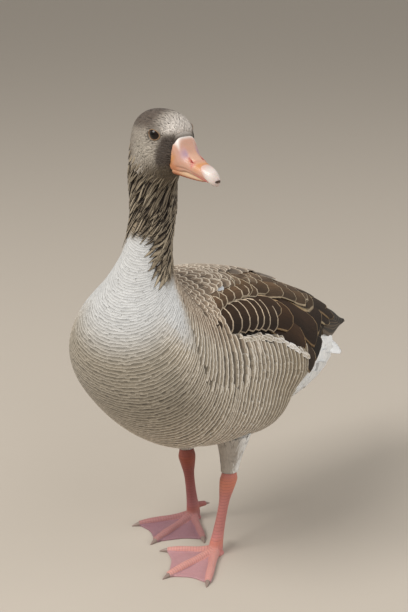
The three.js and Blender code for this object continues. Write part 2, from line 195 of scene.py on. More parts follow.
# %% [markdown]
# The folded wings are a cloak over the back: sections again, but only from a top angle down to
# a low angle, so a place across is a share from 0 at the middle of the back to 1 at the wing's
# lower edge. Its rows run from the shoulder to the wing tips. The flank feathers fold up over
# the cloak's lower edge, so their surface stands out from the body there by the wing's depth.

# %% The wings' cloak, the flanks over it, the tail and the thighs
CLOAK = np.array(
    [
        [84, 335, 122, 150, 90, 0.97, 40, 60],
        [44, 335, 62, 120, 98, 0.95, 18, 64],
        [-8, 328, -5, 104, 96, 0.93, 9, 70],
        [-72, 309, -70, 106, 84, 0.93, 5, 80],
        [-132, 283, -128, 120, 66, 0.95, 3, 92],
        [-188, 257, -180, 136, 47, 1.0, 2, 72],
        [-232, 232, -228, 158, 29, 1.0, 2, 82],
        [-266, 212, -262, 172, 17, 1.0, 3, 92],
        [-290, 195, -287, 181, 9, 1.0, 8, 90],
        [-311, 186, -310, 179, 5, 1.0, 10, 90],
    ],
    float,
)
CLOAK_LAST = len(CLOAK) - 1


def cloak_surface(side):
    """The surface of one folded wing, for side +1 or -1."""

    def surface(row, share, height=0.0):
        rows = spline(CLOAK, np.clip(row, -0.4, CLOAK_LAST))
        up_f, up_z, low_f, low_z, half, square, top, low = np.moveaxis(rows, -1, 0)
        angle = np.radians(mix(top, low, share))
        reach = np.maximum(np.hypot(up_f - low_f, up_z - low_z) / 2, 6)
        up = np.cos(angle) * (1 + height / reach)
        x = (half + height) * np.sign(angle) * np.abs(np.sin(angle)) ** square
        F = (up_f + low_f) / 2 + (up_f - low_f) / 2 * up
        z = (up_z + low_z) / 2 + (up_z - low_z) / 2 * up
        return np.stack(np.broadcast_arrays(side * x, -F, z), -1)

    return surface


# row of the body tube -> degrees off the top at which the folded wing comes out of the flank
WING_RIM = [
    [0, 70], [1, 70], [1.7, 60], [1.9, 64], [2.1, 88], [2.8, 88], [3, 86], [3.5, 84],
    [4, 79], [4.5, 74], [5, 72], [5.5, 70], [6, 68], [6.5, 66], [7.2, 64],
]
# row of the body tube -> mm by which the folded wing stands off the body there
OVER_WING = [
    [2.1, 0], [2.6, 8], [3, 12], [3.5, 13], [4, 13], [4.5, 11.5], [5, 10], [5.5, 8.5],
    [6, 6.5], [6.5, 4], [7, 1.5], [7.5, 0],
]
WING_ENDS = 6.4  # row of the body tube where the mantle covers the front of the wings
FOLD_FADE = (34, 6)  # degrees below the rim where the fold over the wing begins and is full


def coat_surface(row, angle, height=0.0):
    """The body's surface with the flank feathers folded out over the wing's lower edge."""
    deg = degrees_off_top(angle)
    rim = table_at(WING_RIM, row)
    near_wing = smooth(rim + FOLD_FADE[0], rim + FOLD_FADE[1], deg)
    in_front = smooth(WING_ENDS - 0.2, WING_ENDS + 0.2, row)
    over = table_at(OVER_WING, row) * mix(near_wing, 1, in_front)
    return body_surface(row, angle, height + over)


TAIL = {"root": (-206, 190), "tip": (-272, 168), "root_half": 23, "tip_half": 25, "crown": 12}


def tail_surface(along, across, height=0.0):
    """The top of the tail: along 0 at its root to 1 at its tip, across -1 to 1."""
    half = mix(TAIL["root_half"], TAIL["tip_half"], along)
    F = mix(TAIL["root"][0], TAIL["tip"][0], along)
    z = mix(TAIL["root"][1], TAIL["tip"][1], along) - TAIL["crown"] * across**2 + height
    return np.stack(np.broadcast_arrays(half * across, -F, z), -1)


STANCE = 36.5  # mm from the middle plane to each ankle
ANKLE_HEIGHT = 10.0
# mm: the ankle's place ahead, the hock ahead of the ankle and above it, the thigh's slope ahead;
# toe_in is how many degrees the foot turns in
LEGS = {
    "left": {"ankle": 26.4, "hock": -24.0, "rise": 74.0, "toe_in": 8.0, "thigh": -4.0},
    "right": {"ankle": -26.4, "hock": 12.0, "rise": 77.0, "toe_in": 1.0, "thigh": 0.0},
}
THIGH_OUT, THIGH_RISE = 4.0, 58.0  # mm outwards and up from the hock to the thigh's upper end
# share of the thigh, half width and half depth
THIGH_ROWS = np.array(
    [[0.2, 8.8, 10], [0.36, 10, 11.5], [0.55, 12, 14], [0.8, 16, 19], [1.05, 21, 25]]
)


def thigh_surface(label):
    """The feathered thigh of one leg: row 0 at the hock, 4 inside the body; the angle goes round."""
    leg, side = LEGS[label], SIDES[label]

    def surface(row, angle, height=0.0):
        t, half, deep = np.moveaxis(spline(THIGH_ROWS, np.clip(row, 0, 4)), -1, 0)
        x = side * (STANCE + THIGH_OUT * t) + (half + height) * np.cos(angle)
        F = leg["ankle"] + leg["hock"] + leg["thigh"] * t + (deep + height) * np.sin(angle)
        z = ANKLE_HEIGHT + leg["rise"] + THIGH_RISE * t
        return np.stack(np.broadcast_arrays(x, -F, z), -1)

    return surface


folded = cloak_surface(1)(np.linspace(0, CLOAK_LAST, 50), 0.5)
print(f"a folded wing is {np.ptp(folded[:, 1]):.0f} mm long")

# %% [markdown]
# ## Markings
#
# Skin and coat carry the same markings, so both ask one function for the colour at a place.
# It lays a handful of regions that a greylag has over each other, each with a vane colour and
# a paler fringe. On the neck the fringe is the dark side of a furrow instead, partly the
# feathers' own colour and partly painted shade.

# %% One function for the markings of the body
# degrees from the middle of the pale wedge under the throat -> row where the furrows begin
FURROWS_FROM = [[0, 12.15], [45, 11.9], [60, 11.4], [110, 10.2], [180, 9.7]]
WEDGE_AT = np.radians(160)  # how far to the right the middle of the wedge is


def furrows_from(angle):
    """The row of the tube at which the neck's furrows begin; the breast's pale wedge leans right."""
    return table_at(FURROWS_FROM, degrees_off_top(np.asarray(angle) + WEDGE_AT))


def lay_over(shape, *layers):
    """Colours laid over each other in order: pairs of a hex code and a weight from 0 to 1."""
    out = np.zeros(shape + (3,))
    for code, weight in layers:
        out = mix(out, colour(code), np.broadcast_to(weight, shape)[..., None])
    return out


def face_markings(row, angle):
    """Colours of the head: dark crown and lores, pale forehead and cheeks, olive throat."""
    F, z, _ = tube(BODY, row, angle, 0.0)
    return lay_over(
        F.shape,
        ("8d8479", 1.0),
        ("a49c90", 0.9 * bump(F, 106, 21) * bump(z, 481, 15)),
        ("574c43", smooth(499, 510, z) * smooth(132, 114, F)),
        ("cfc7bf", bump(F, 140, 10) * smooth(496, 504, z)),
        ("766a5e", 0.8 * smooth(96, 80, F) * smooth(500, 480, z)),
        ("463d36", smooth(125, 131, F - 0.25 * (z - 485)) * smooth(502, 494, z)),
        ("5f5445", 0.9 * smooth(474, 464, z)),
    )


def body_markings(row, angle):
    """Vane colour and fringe colour, both linear, at a row and an angle of the body tube."""
    row, angle = np.broadcast_arrays(np.asarray(row, float), np.asarray(angle, float))
    deg = degrees_off_top(angle)
    belly = smooth(128, 158, deg) * smooth(2.0, 3.2, row) * smooth(6.4, 5.2, row)
    lower = smooth(6.6, 8.0, row) * smooth(100, 130, deg)
    rear = smooth(5.6, 4.0, row)
    breast = smooth(8.9, 10.1, row + 0.9 * bump(deg, 88, 16))
    neck = smooth(-0.25, 0.2, row - furrows_from(angle))
    head = smooth(15.0, 15.8, row)
    mantle = smooth(78, 58, deg) * smooth(11.0, 10.0, row)
    white = np.maximum(smooth(2.1, 1.85, row), smooth(3.05, 2.85, row) * smooth(84, 92, deg))
    vane = lay_over(
        row.shape, ("a19583", 1.0), ("84765f", 0.8 * rear), ("a89f91", belly), ("8c8374", lower),
        ("bcbcba", breast), ("8f816c", neck), ("8e7c69", mantle), ("f2f4f5", white),
    )
    # on the neck the fringe is the locks' dark side: partly their own colour, partly painted shade of the
    # furrows
    fringe = lay_over(
        row.shape, ("e3dbce", 1.0), ("c4b9a6", 0.8 * rear), ("d3ccc1", belly), ("b3ab9d", lower),
        ("cccdce", breast), ("30271f", neck), ("d9cbb8", mantle), ("f8f9f9", white),
    )
    face = face_markings(row, angle)
    return mix(vane, face, head[..., None]), mix(fringe, face * 1.3 + 0.01, head[..., None])


breast_vane, _ = body_markings(np.array([11.0]), np.array([np.pi]))
print("the breast's pale vanes in linear colour:", breast_vane[0].round(2))


# %% [markdown]
# ## Making meshes and laying vanes
#
# Everything is made from whole arrays of points. A feather here is a thin closed vane: a grid
# of points mapped through the surface it lies on, so that it follows every curve, with a
# rounded tip, a lens-shaped section and a gentle rise from root to tip, which makes the vanes
# overlap like roof tiles. Hair strands would be lighter, but they don't survive an export.

# %% Meshes from arrays
def add_mesh(name, points, faces, material):
    """A smooth mesh object from points in mm and an (n, corners) array of faces."""
    mesh = bpy.data.meshes.new(name)
    count, corners = faces.shape
    mesh.vertices.add(len(points))
    mesh.vertices.foreach_set("co", ((points + FOOTPRINT) * MM).astype(np.float32).ravel())
    mesh.loops.add(count * corners)
    mesh.loops.foreach_set("vertex_index", faces.astype(np.int32).ravel())
    mesh.polygons.add(count)
    mesh.polygons.foreach_set("loop_start", np.arange(0, count * corners, corners, dtype=np.int32))
    mesh.update(calc_edges=True)
    mesh.validate()
    mesh.shade_smooth()
    mesh.materials.append(material)
    piece = bpy.data.objects.new(name, mesh)
    bpy.context.scene.collection.objects.link(piece)
    return piece


def points_of(piece):
    """A mesh's points in mm in the goose's frame."""
    co = np.empty(len(piece.data.vertices) * 3)
    piece.data.vertices.foreach_get("co", co)
    return co.reshape(-1, 3) / MM - FOOTPRINT


def move_points(piece, points):
    """Sets a mesh's points from mm in the goose's frame."""
    piece.data.vertices.foreach_set("co", ((points + FOOTPRINT) * MM).astype(np.float32).ravel())
    piece.data.update()


def store(piece, name, values):
    """A point attribute: one number or vector for each vertex, or a colour if it's a marking."""
    values = np.asarray(values, np.float32)
    if values.ndim == 1:
        layer = piece.data.attributes.new(name, "FLOAT", "POINT")
        layer.data.foreach_set("value", values)
    elif name in ("marking", "fringe"):
        layer = piece.data.attributes.new(name, "FLOAT_COLOR", "POINT")
        opaque = np.ones((len(values), 1), np.float32)
        layer.data.foreach_set("color", np.concatenate([values, opaque], 1).ravel())
    else:
        layer = piece.data.attributes.new(name, "FLOAT_VECTOR", "POINT")
        layer.data.foreach_set("vector", values.ravel())


def store_uv(piece, name, uv):
    """A UV map from one (u, v) for each vertex."""
    corner = np.empty(len(piece.data.loops), np.int32)
    piece.data.loops.foreach_get("vertex_index", corner)
    layer = piece.data.uv_layers.new(name=name)
    layer.data.foreach_set("uv", uv[corner].astype(np.float32).ravel())


def finish_piece(piece, replaced=()):
    """Rides on the goose's one body, and stands for the CAD nodes it replaces."""
    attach(piece, "root")
    if replaced:
        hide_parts(*replaced)


def grid_faces(rows, columns, closed=False):
    """Quads of a grid with columns + 1 points a row, or columns if it closes on itself."""
    i, j = np.meshgrid(np.arange(rows), np.arange(columns), indexing="ij")
    wide = columns if closed else columns + 1
    k = (j + 1) % wide if closed else j + 1
    quads = np.stack([i * wide + j, i * wide + k, (i + 1) * wide + k, (i + 1) * wide + j], -1)
    return quads.reshape(-1, 4)


def outward_faces(points, quads, triangles):
    """The faces of a closed mesh as triangles, turned to face outwards."""
    faces = np.concatenate([quads[:, [0, 1, 2]], quads[:, [0, 2, 3]], triangles])
    a, b, c = (points[faces[:, i]] for i in range(3))
    volume = (a * np.cross(b, c)).sum()
    return faces if volume > 0 else faces[:, ::-1]


def tube_mesh(rows, angles, place):
    """Points, faces, row and angle of a closed tube, its ends drawn to a point at their middle."""
    R, A = np.meshgrid(rows, angles, indexing="ij")
    ring = place(R, A)
    count = len(angles)
    points = np.concatenate([ring.reshape(-1, 3), ring[0].mean(0)[None], ring[-1].mean(0)[None]])
    j = np.arange(count)
    k = (j + 1) % count
    first, last = len(rows) * count, len(rows) * count + 1
    base = (len(rows) - 1) * count
    caps = [np.stack([j * 0 + first, k, j], -1), np.stack([j * 0 + last, base + j, base + k], -1)]
    faces = outward_faces(points, grid_faces(len(rows) - 1, count, closed=True), np.concatenate(caps))
    at_row = np.concatenate([R.ravel(), [rows[0], rows[-1]]])
    return points, faces, at_row, np.concatenate([A.ravel(), [0, 0]])


def turn_round(count):
    """Evenly spaced angles once round."""
    return np.linspace(-np.pi, np.pi, count, endpoint=False)


# %% A generator of vanes
PATCH = 0.003  # how large each vane's patch is on the unwrapped skin
LAST_STEP = 0.96  # share of a vane's length at which its last row before the tip lies


def vane_template(along, across):
    """Faces of one closed vane: a top grid and a bottom grid that share their outer points."""
    top = np.arange((along + 1) * (across + 1)).reshape(along + 1, across + 1)
    bottom = top.copy()
    inner = (along - 1, across - 1)
    bottom[1:-1, 1:-1] = top.size + np.arange(inner[0] * inner[1]).reshape(inner)

    def quads(ids):
        corners = [ids[:-1, :-1], ids[:-1, 1:], ids[1:, 1:], ids[1:, :-1]]
        return np.stack(corners, -1).reshape(-1, 4)

    return np.concatenate([quads(top), quads(bottom)[:, ::-1]])


def lay_vanes(surface, unwrap, places, length, half, *, toward=-1, from_tip=False, lean=0.0,
              base=0.0, lift=2.0, arch=0.5, thick=0.5, tip=0.35, point=2.2, waist=0.5, bend=0.0,
              rim=1.0, side_rim=1.0, sheared=False, along=6, across=4):
    """Arrays for n closed vanes that lie on a surface.

    places is (n, 2), a row and a place across for each root, or for each tip if from_tip is
    set; sizes in mm are numbers or (n,) arrays. A point at a share s of the length L and t
    across (-1 to 1) lies s L (1 - tip |t|^point) along the vane, t w(s) across it, and
    base + lift s + arch (1 - t^2) above the surface. A sheared vane's tip follows its ring.
    """
    n = len(places)
    p, q = np.asarray(places, float).T

    def full(value):
        return np.broadcast_to(np.asarray(value, float), (n,))[:, None, None]

    e = 1e-3  # the step over which the surface's slopes are measured
    dp = (surface(p + e, q) - surface(p - e, q)) / (2 * e)
    dq = (surface(p, q + e) - surface(p, q - e)) / (2 * e)
    out = unit(surface(p, q, 1.0) - surface(p, q, 0.0))
    back = unit(toward * dp)
    side = unit(dq - (dq * back).sum(-1, keepdims=True) * back)
    lean = np.broadcast_to(np.asarray(lean, float), (n,))[:, None]
    ahead = np.cos(lean) * back + np.sin(lean) * side
    cross = unit(dq) if sheared else -np.sin(lean) * back + np.cos(lean) * side
    g11, g12, g22 = (dp * dp).sum(-1), (dp * dq).sum(-1), (dq * dq).sum(-1)
    det = np.maximum(g11 * g22 - g12**2, 1e-6)

    def in_surface(v):
        a, b = (dp * v).sum(-1), (dq * v).sum(-1)
        return (g22 * a - g12 * b) / det, (g11 * b - g12 * a) / det

    (ap, aq), (cp, cq) = in_surface(ahead), in_surface(cross)
    if from_tip:
        p, q = p - length * ap, q - length * aq
    # the grid is closer at the rims, so that they shade crisply
    s = np.append(np.linspace(0, LAST_STEP, along), 1)[:, None]
    t = np.linspace(-1, 1, across + 1)[None, :]
    t = np.sign(t) * np.sqrt(np.abs(t))
    length, half, bend = full(length), full(half), full(bend)
    x = length * s * (1 - tip * np.abs(t) ** point)
    w = half * mix(waist, 1, smooth(0, 0.55, s))
    y = t * w + bend * s**2 * half
    pp = full(p) + x * full(ap) + y * full(cp)
    qq = full(q) + x * full(aq) + y * full(cq)
    lens = full(thick) / 2 * (1 - t**2) * (4 * s * (1 - s)) ** 0.35
    height = full(base) + full(lift) * s + full(arch) * (1 - t**2) * smooth(0, 0.3, s)
    top = surface(pp, qq, height + lens)
    low = surface(pp, qq, height - lens)[:, 1:-1, 1:-1]
    points = np.concatenate([top.reshape(n, -1, 3), low.reshape(n, -1, 3)], 1)

    faces = vane_template(along, across)
    if (np.cross(cross, ahead) * out).sum() < 0:
        faces = faces[:, ::-1]
    count = points.shape[1]
    faces = (faces[None] + (np.arange(n) * count)[:, None, None]).reshape(-1, 4)

    def both(field):
        field = np.broadcast_to(field, (n, along + 1, across + 1))
        return np.concatenate([field.reshape(n, -1), field[:, 1:-1, 1:-1].reshape(n, -1)], 1)

    tip_far = length * (1 - s) * (1 - 0.5 * tip * np.abs(t) ** point) / full(rim)
    side_far = w * (1 - np.abs(t)) / full(rim) * side_rim + 0 * x
    measure = np.stack([both(t * w + 0 * x), both(tip_far), both(side_far)], -1)
    u, v = unwrap(p, q)
    patch_u = both(full(u) + PATCH * (t / 2) + 0 * x)
    patch_v = both(full(v) + PATCH * (s - 0.5) + 0 * x)
    return {
        "points": points.reshape(-1, 3), "faces": faces, "measure": measure.reshape(-1, 3),
        "uv": np.stack([patch_u, patch_v], -1).reshape(-1, 2), "count": count, "n": n,
    }


print("a body vane has", len(vane_template(8, 8)), "quads, and a face vane", len(vane_template(3, 2)))


def marked(lot, vane, fringe, line=0.0):
    """A lot of vanes with its colours and the depth of the dark line under the next row's edge."""
    return {**lot, "vane": vane, "fringe": fringe, "line": np.broadcast_to(line, (lot["n"],))}


def coat(name, lots, material, replaced=()):
    """One coat piece from several lots of vanes, with its colours, tone and patch map."""
    starts = np.cumsum([0] + [len(lot["points"]) for lot in lots])
    joined = {key: np.concatenate([lot[key] for lot in lots]) for key in ("points", "measure", "uv")}
    faces = np.concatenate([lot["faces"] + start for lot, start in zip(lots, starts)])
    each = {
        key: np.concatenate([np.repeat(lot[key], lot["count"], 0) for lot in lots])
        for key in ("vane", "fringe", "line")
    }
    tone = np.concatenate([np.repeat(rng.uniform(0, 1, lot["n"]), lot["count"]) for lot in lots])
    piece = add_mesh(name, joined["points"], faces, material)
    store(piece, "vane", joined["measure"])
    store(piece, "marking", each["vane"])
    store(piece, "fringe", each["fringe"])
    store(piece, "line", each["line"])
    store(piece, "tone", tone)
    store_uv(piece, "OFBake", joined["uv"])
    finish_piece(piece, replaced)
    print(f"{name}: {sum(lot['n'] for lot in lots)} vanes, {2 * len(faces)} triangles")
    return piece


# %% [markdown]
# ## Materials
#
# Feathers share one recipe. The vane's own measurements, stored on its points, drive a pale
# fringe, a dark line where the next row's edge throws its shade, fine strands that run along
# the edge, a shaft down the middle, and barbs about 0.8 mm apart that run out from the shaft.
# Bare skin is finely pebbled, horn is smoother, and each has its own roughness.

# %% Shader helpers
def node(tree, kind, inputs=None, **settings):
    """Adds a shader node, sets its properties, and sets or links its inputs by name or number."""
    made = tree.nodes.new(kind)
    for key, value in settings.items():
        setattr(made, key, value)
    for key, value in (inputs or {}).items():
        if isinstance(value, bpy.types.NodeSocket):
            tree.links.new(value, made.inputs[key])
        else:
            made.inputs[key].default_value = value
    return made


def maths(tree, operation, a, b=0.0):
    """One arithmetic node."""
    return node(tree, "ShaderNodeMath", {0: a, 1: b}, operation=operation).outputs[0]


def ramp(tree, value, low, high, out_low=0.0, out_high=1.0):
    """A smooth step of a value from out_low at low to out_high at high."""
    inputs = {"Value": value, 1: low, 2: high, 3: out_low, 4: out_high}
    return node(tree, "ShaderNodeMapRange", inputs, interpolation_type="SMOOTHSTEP").outputs[0]


def tinted(tree, a, b, factor):
    """Colour a with colour b laid over it by a factor."""
    made = node(tree, "ShaderNodeMix", {0: factor, 6: a, 7: b}, data_type="RGBA")
    return made.outputs[2]


def new_material(name, roughness, **shader):
    """A named material with its shader's constant values, and its tree and shader."""
    material = bpy.data.materials.new(name)
    material.use_nodes = True
    tree = material.node_tree
    principled = tree.nodes["Principled BSDF"]
    principled.inputs["Roughness"].default_value = roughness
    for key, value in shader.items():
        principled.inputs[key.replace("_", " ")].default_value = value
    return material, tree, principled


def attribute(tree, name, output):
    """The stored attribute's output, Color, Vector or Fac."""
    return node(tree, "ShaderNodeAttribute", attribute_name=name).outputs[output]


def noise(tree, scale, detail=2.0, vector=None):
    """A noise value, in Object coordinates unless a vector is given; scale is per metre."""
    if vector is None:
        vector = node(tree, "ShaderNodeTexCoord").outputs["Object"]
    return node(tree, "ShaderNodeTexNoise", {"Scale": scale, "Detail": detail, "Vector": vector}).outputs[0]


def bumped(tree, shader, height, distance, strength=0.5):
    """Relief on a shader from a height, distance metres deep."""
    relief = node(tree, "ShaderNodeBump", {"Strength": strength, "Distance": distance, "Height": height})
    tree.links.new(relief.outputs[0], shader.inputs["Normal"])


# %% Materials of feathers
FRINGE_FADE = (0.7, 1.3)  # fringe widths from the rim over which the fringe gives way to the vane
LINE_FADE = (2.3, 3.5)  # fringe widths from the rim over which the dark line comes in
SHADE_ACROSS_MM = (-9.0, 12.0)  # mm across a vane over which painted light on its upper side gives way to painted shade on its lower side
SHAFT_MM = (0.1, 0.45)  # mm from the middle over which the shaft's dark line ends


def feather_material(name, roughness, barb=0.8, barb_depth=0.12, shaft=0.25, strands=0.1,
                     sheen=0.1, spread=0.1, ragged=0.8, lengthwise=False, shade_across=0.0):
    """The recipe for vanes. barb is the barbs' spacing in mm, spread the tone's share either way.

    barb_depth, shaft and strands are shares by which barbs, shaft and strands darken the vane,
    and ragged is how many fringe widths the fringe's edge wanders. Strands run along the
    vane's edge, or along its shaft if lengthwise is set. The last argument is the share of
    painted shade on the vane's lower side and of painted light on its upper side.
    """
    material, tree, shader = new_material(name, roughness, Sheen_Weight=sheen, Sheen_Roughness=0.5)
    shader.inputs["Specular IOR Level"].default_value = 0.18
    split = node(tree, "ShaderNodeSeparateXYZ", {0: attribute(tree, "vane", "Vector")}).outputs
    across, tip_far, side_far = split[0], split[1], split[2]
    away = maths(tree, "ABSOLUTE", across)
    tone = attribute(tree, "tone", "Fac")
    grain = noise(tree, 900.0)  # grains about 1 mm across
    wander = maths(tree, "MULTIPLY", maths(tree, "SUBTRACT", grain, 0.5), ragged)
    border = maths(tree, "ADD", maths(tree, "MINIMUM", tip_far, side_far), wander)
    rim = ramp(tree, border, *FRINGE_FADE, 1.0, 0.0)
    line = maths(tree, "MULTIPLY", ramp(tree, border, *LINE_FADE), attribute(tree, "line", "Fac"))
    value = maths(tree, "ADD", 1 - spread, maths(tree, "MULTIPLY", tone, 2 * spread))
    value = maths(tree, "MULTIPLY", value, maths(tree, "SUBTRACT", 1.0, line))
    barbs_at = maths(tree, "ADD", tip_far, maths(tree, "MULTIPLY", away, 1.2))
    barbs = maths(tree, "SINE", maths(tree, "MULTIPLY", barbs_at, 2 * math.pi / barb))
    fine = maths(tree, "MULTIPLY", barbs, barb_depth * 0.5)
    value = maths(tree, "MULTIPLY", value, maths(tree, "ADD", 1.0, fine))
    # how fast the strands' noise runs across and along the vane, per mm or fringe width
    wide, long = (0.45, 0.1) if lengthwise else (0.09, 1.0)
    run = {0: maths(tree, "MULTIPLY", across, wide), 1: maths(tree, "MULTIPLY", tip_far, long)}
    run[2] = maths(tree, "MULTIPLY", tone, 37.0)  # each vane has strands of its own
    value = maths(tree, "MULTIPLY", value, ramp(tree, across, *SHADE_ACROSS_MM, 1 + shade_across, 1 - shade_across))
    strand = noise(tree, 1.7, 3.0, node(tree, "ShaderNodeCombineXYZ", run).outputs[0])
    streak = maths(tree, "MULTIPLY", maths(tree, "SUBTRACT", strand, 0.5), 4.0 * strands)
    value = maths(tree, "MULTIPLY", value, maths(tree, "ADD", 1.0, streak))
    value = maths(tree, "MULTIPLY", value, ramp(tree, away, *SHAFT_MM, 1.0 - shaft, 1.0))
    base = tinted(tree, attribute(tree, "marking", "Color"), attribute(tree, "fringe", "Color"), rim)
    shaded = node(tree, "ShaderNodeHueSaturation", {"Value": value, "Color": base}).outputs[0]
    tree.links.new(shaded, shader.inputs["Base Color"])
    bumped(tree, shader, maths(tree, "ADD", maths(tree, "MULTIPLY", barbs, 0.5), strand), 0.0002, 0.35)
    return material


# loose barbs scatter the light, so body feathers look matt and a little soft at the edge
BODY_FEATHER = feather_material("soft_body_feathers", 0.8, shaft=0.04, strands=0.16, spread=0.08)
WHITE_FEATHER = feather_material("white_body_feathers", 0.8, shaft=0.03, strands=0.04, spread=0.04)
# neck locks are stringy: coarse barbs and no shaft to be seen
NECK_FEATHER = feather_material(
    "furrowed_neck_feathers", 0.75, barb=0.6, barb_depth=0.3, shaft=0.0, strands=0.12, spread=0.16
)
# face feathers are as short as a nap, so they look like felt
FACE_FEATHER = feather_material(
    "short_face_feathers", 0.85, barb=0.5, barb_depth=0.2, shaft=0.0, strands=0.0, ragged=0.3
)
# wing feathers are smooth and firm, streaked along the shaft, with painted shade on their lower side and
# painted light on their upper side
WING_FEATHER = feather_material(
    "wing_feathers", 0.7, barb=1.0, strands=0.3, sheen=0.0, spread=0.16, lengthwise=True, shade_across=0.4
)
# flight feathers are the stiffest, with a low gloss
FLIGHT_FEATHER = feather_material("stiff_flight_feathers", 0.45, barb=1.2, strands=0.08, sheen=0.0)
FEATHERS = (BODY_FEATHER, WHITE_FEATHER, NECK_FEATHER, FACE_FEATHER, WING_FEATHER, FLIGHT_FEATHER)
print("feather materials:", [material.name for material in FEATHERS])


def down_material(name):
    """The skin under the vanes: the same markings, darkened as painted shade of the coat over them, with a
    downy nap about 1 mm across.
    """
    material, tree, shader = new_material(name, 0.95)
    nap = noise(tree, 800.0, 3.0)
    # painted shade: the nap's value only ever darkens the markings, to between a half and the whole
    value = maths(tree, "ADD", 0.5, maths(tree, "MULTIPLY", nap, 0.5))
    inputs = {"Value": value, "Color": attribute(tree, "marking", "Color")}
    shaded = node(tree, "ShaderNodeHueSaturation", inputs).outputs[0]
    tree.links.new(shaded, shader.inputs["Base Color"])
    bumped(tree, shader, nap, 0.0005, 0.6)
    return material


SHADED_DOWN = down_material("shaded_down_over_skin")

# %% [markdown]
# ## The skin
#
# One closed skin runs from the tail to the bill and down both thighs. It lies inside the
# goose's outline by the depth of the coat: 4 mm on the body, 2 mm on the neck and under 1 mm
# on the face. The thighs are joined to the tube by a boolean union, so no seam shows. Round
# each eye the skin is drawn over a ball a little larger than the eyeball, which makes the lids,
# and inside the almond-shaped opening it dives under the eyeball.

# %% Skin with lids
OPENING = (6.3, 4.9)  # half the length and half the height of the opening between the lids
LID_THICK = 0.5
UNDER_EYE = 1.3  # mm by which the skin passes under the eyeball's surface
THIGH_COAT = 2.0  # mm from the thigh's outline in to its skin


def eye_axes(side):
    """An eye's centre and its axes: outward, towards the bill, and up."""
    centre = turned(EYE["F"], EYE["z"], side * EYE["x"], HEAD_TURN)
    # the eye looks a little forwards and down, and its opening slants down towards the bill
    outward = turned(EYE["F"] + 2.0, EYE["z"] - 0.6, side * (EYE["x"] + 10), HEAD_TURN) - centre
    outward = outward / np.linalg.norm(outward)
    toward_bill = turned(EYE["F"] + 10, EYE["z"] - 1.6, side * EYE["x"], HEAD_TURN) - centre
    toward_bill = unit(toward_bill - (toward_bill @ outward) * outward)
    return centre, outward, toward_bill, np.cross(toward_bill, outward) * side


def coat_depth(row):
    """How far the skin lies inside the outline, in mm, along the tube."""
    body, neck, face = 4.0, 2.2, 0.7
    return mix(mix(body, neck, smooth(9.5, 12, row)), face, smooth(14.2, 15.6, row))


def skin_points(row, angle):
    """Skin points; near an eye they're moved onto the lids or under the eyeball."""
    points = body_surface(row, angle, -coat_depth(row))
    for side in SIDES.values():
        centre, outward, toward_bill, up = eye_axes(side)
        rel = points - centre
        depth = rel @ outward
        a, b = rel @ toward_bill, rel @ up
        far = np.hypot(a, b)
        share = np.hypot(a / OPENING[0], b / OPENING[1])
        near = (depth > -4) & (far < 17)  # mm, on this eye's side of the head
        radius = EYE["radius"]
        on_lid = np.sqrt(np.maximum((radius + LID_THICK) ** 2 - far**2, 1.0))
        inside = np.sqrt(np.maximum((radius - UNDER_EYE) ** 2 - far**2, 0.2))
        lid = mix(inside, on_lid, smooth(0.96, 1.06, share))
        want = np.where(near, mix(lid, depth, smooth(1.25, 1.75, share)), depth)
        points = points + (want - depth)[..., None] * outward
    return points


# rows are closest on the face, where the lids need them
rows = np.concatenate(
    [np.arange(0, 10, 0.1), np.arange(10, 15, 0.08), np.arange(15, 19.99, 0.04), [LAST]]
)
points, faces, at_row, at_angle = tube_mesh(rows, turn_round(208), skin_points)
skin = add_mesh("skin", points, faces, SHADED_DOWN)
cutters = []
for label in SIDES:
    surface = thigh_surface(label)
    thigh_points, thigh_faces, _, _ = tube_mesh(
        np.linspace(0, 4, 40), turn_round(48), lambda r, a: surface(r, a, -THIGH_COAT)
    )
    cutters.append(add_mesh("thigh_join_" + label, thigh_points, thigh_faces, SHADED_DOWN))
for cutter in cutters:
    join = skin.modifiers.new("join", "BOOLEAN")
    join.operation, join.solver, join.object = "UNION", "EXACT", cutter
joined = bpy.data.meshes.new_from_object(skin.evaluated_get(bpy.context.evaluated_depsgraph_get()))
skin.modifiers.clear()
skin.data = joined
for cutter in cutters:
    bpy.data.objects.remove(cutter)
skin.data.name = "skin"
skin.data.shade_smooth()
# the union makes new points, so each takes the marking of the nearest point of the tube
tree = KDTree(len(points))
for i, p in enumerate(points):
    tree.insert(p, i)
tree.balance()
found = [tree.find(p)[1:] for p in points_of(skin)]
nearest = np.array([f[0] for f in found])
distance = np.array([f[1] for f in found])
skin_vane, _ = body_markings(at_row[nearest], at_angle[nearest])
on_thigh = distance[:, None] > 1.0  # farther than 1 mm from the tube is a thigh
store(skin, "marking", np.where(on_thigh, colour("d5d2cd"), skin_vane))
neck = ("neck_lower", "neck_middle", "neck_upper")
finish_piece(skin, ("rump", "trunk", *neck, "head", "thigh_left", "thigh_right"))
print("skin:", len(skin.data.polygons), "faces")

# %% [markdown]
# ## The body's coat
#
# Feathers grow in rings round the body. The rings are a set distance apart down the middle of
# the breast and belly, where the tube's rows fan out, and every second or fourth one is left
# out where the rows crowd together at the back of the neck. Round a ring the roots are evenly
# spaced but for a little chance, and each ring is shifted by half a feather. The tips are broad
# and blunt, so a ring reads as one fine scalloped line, as it does on a goose's breast.

# %% Rings of roots on the body
SLOPE_STEP = 0.01  # rows, or radians, over which a slope of the tube is measured
SIDE_STRAY = 0.12  # the least share of the spacing by which a root strays round its ring


def row_length(row, angle):
    """How many mm one row of the tube is, at a place on it."""
    e = SLOPE_STEP
    return np.linalg.norm(body_surface(row + e, angle) - body_surface(row - e, angle), axis=-1) / (2 * e)


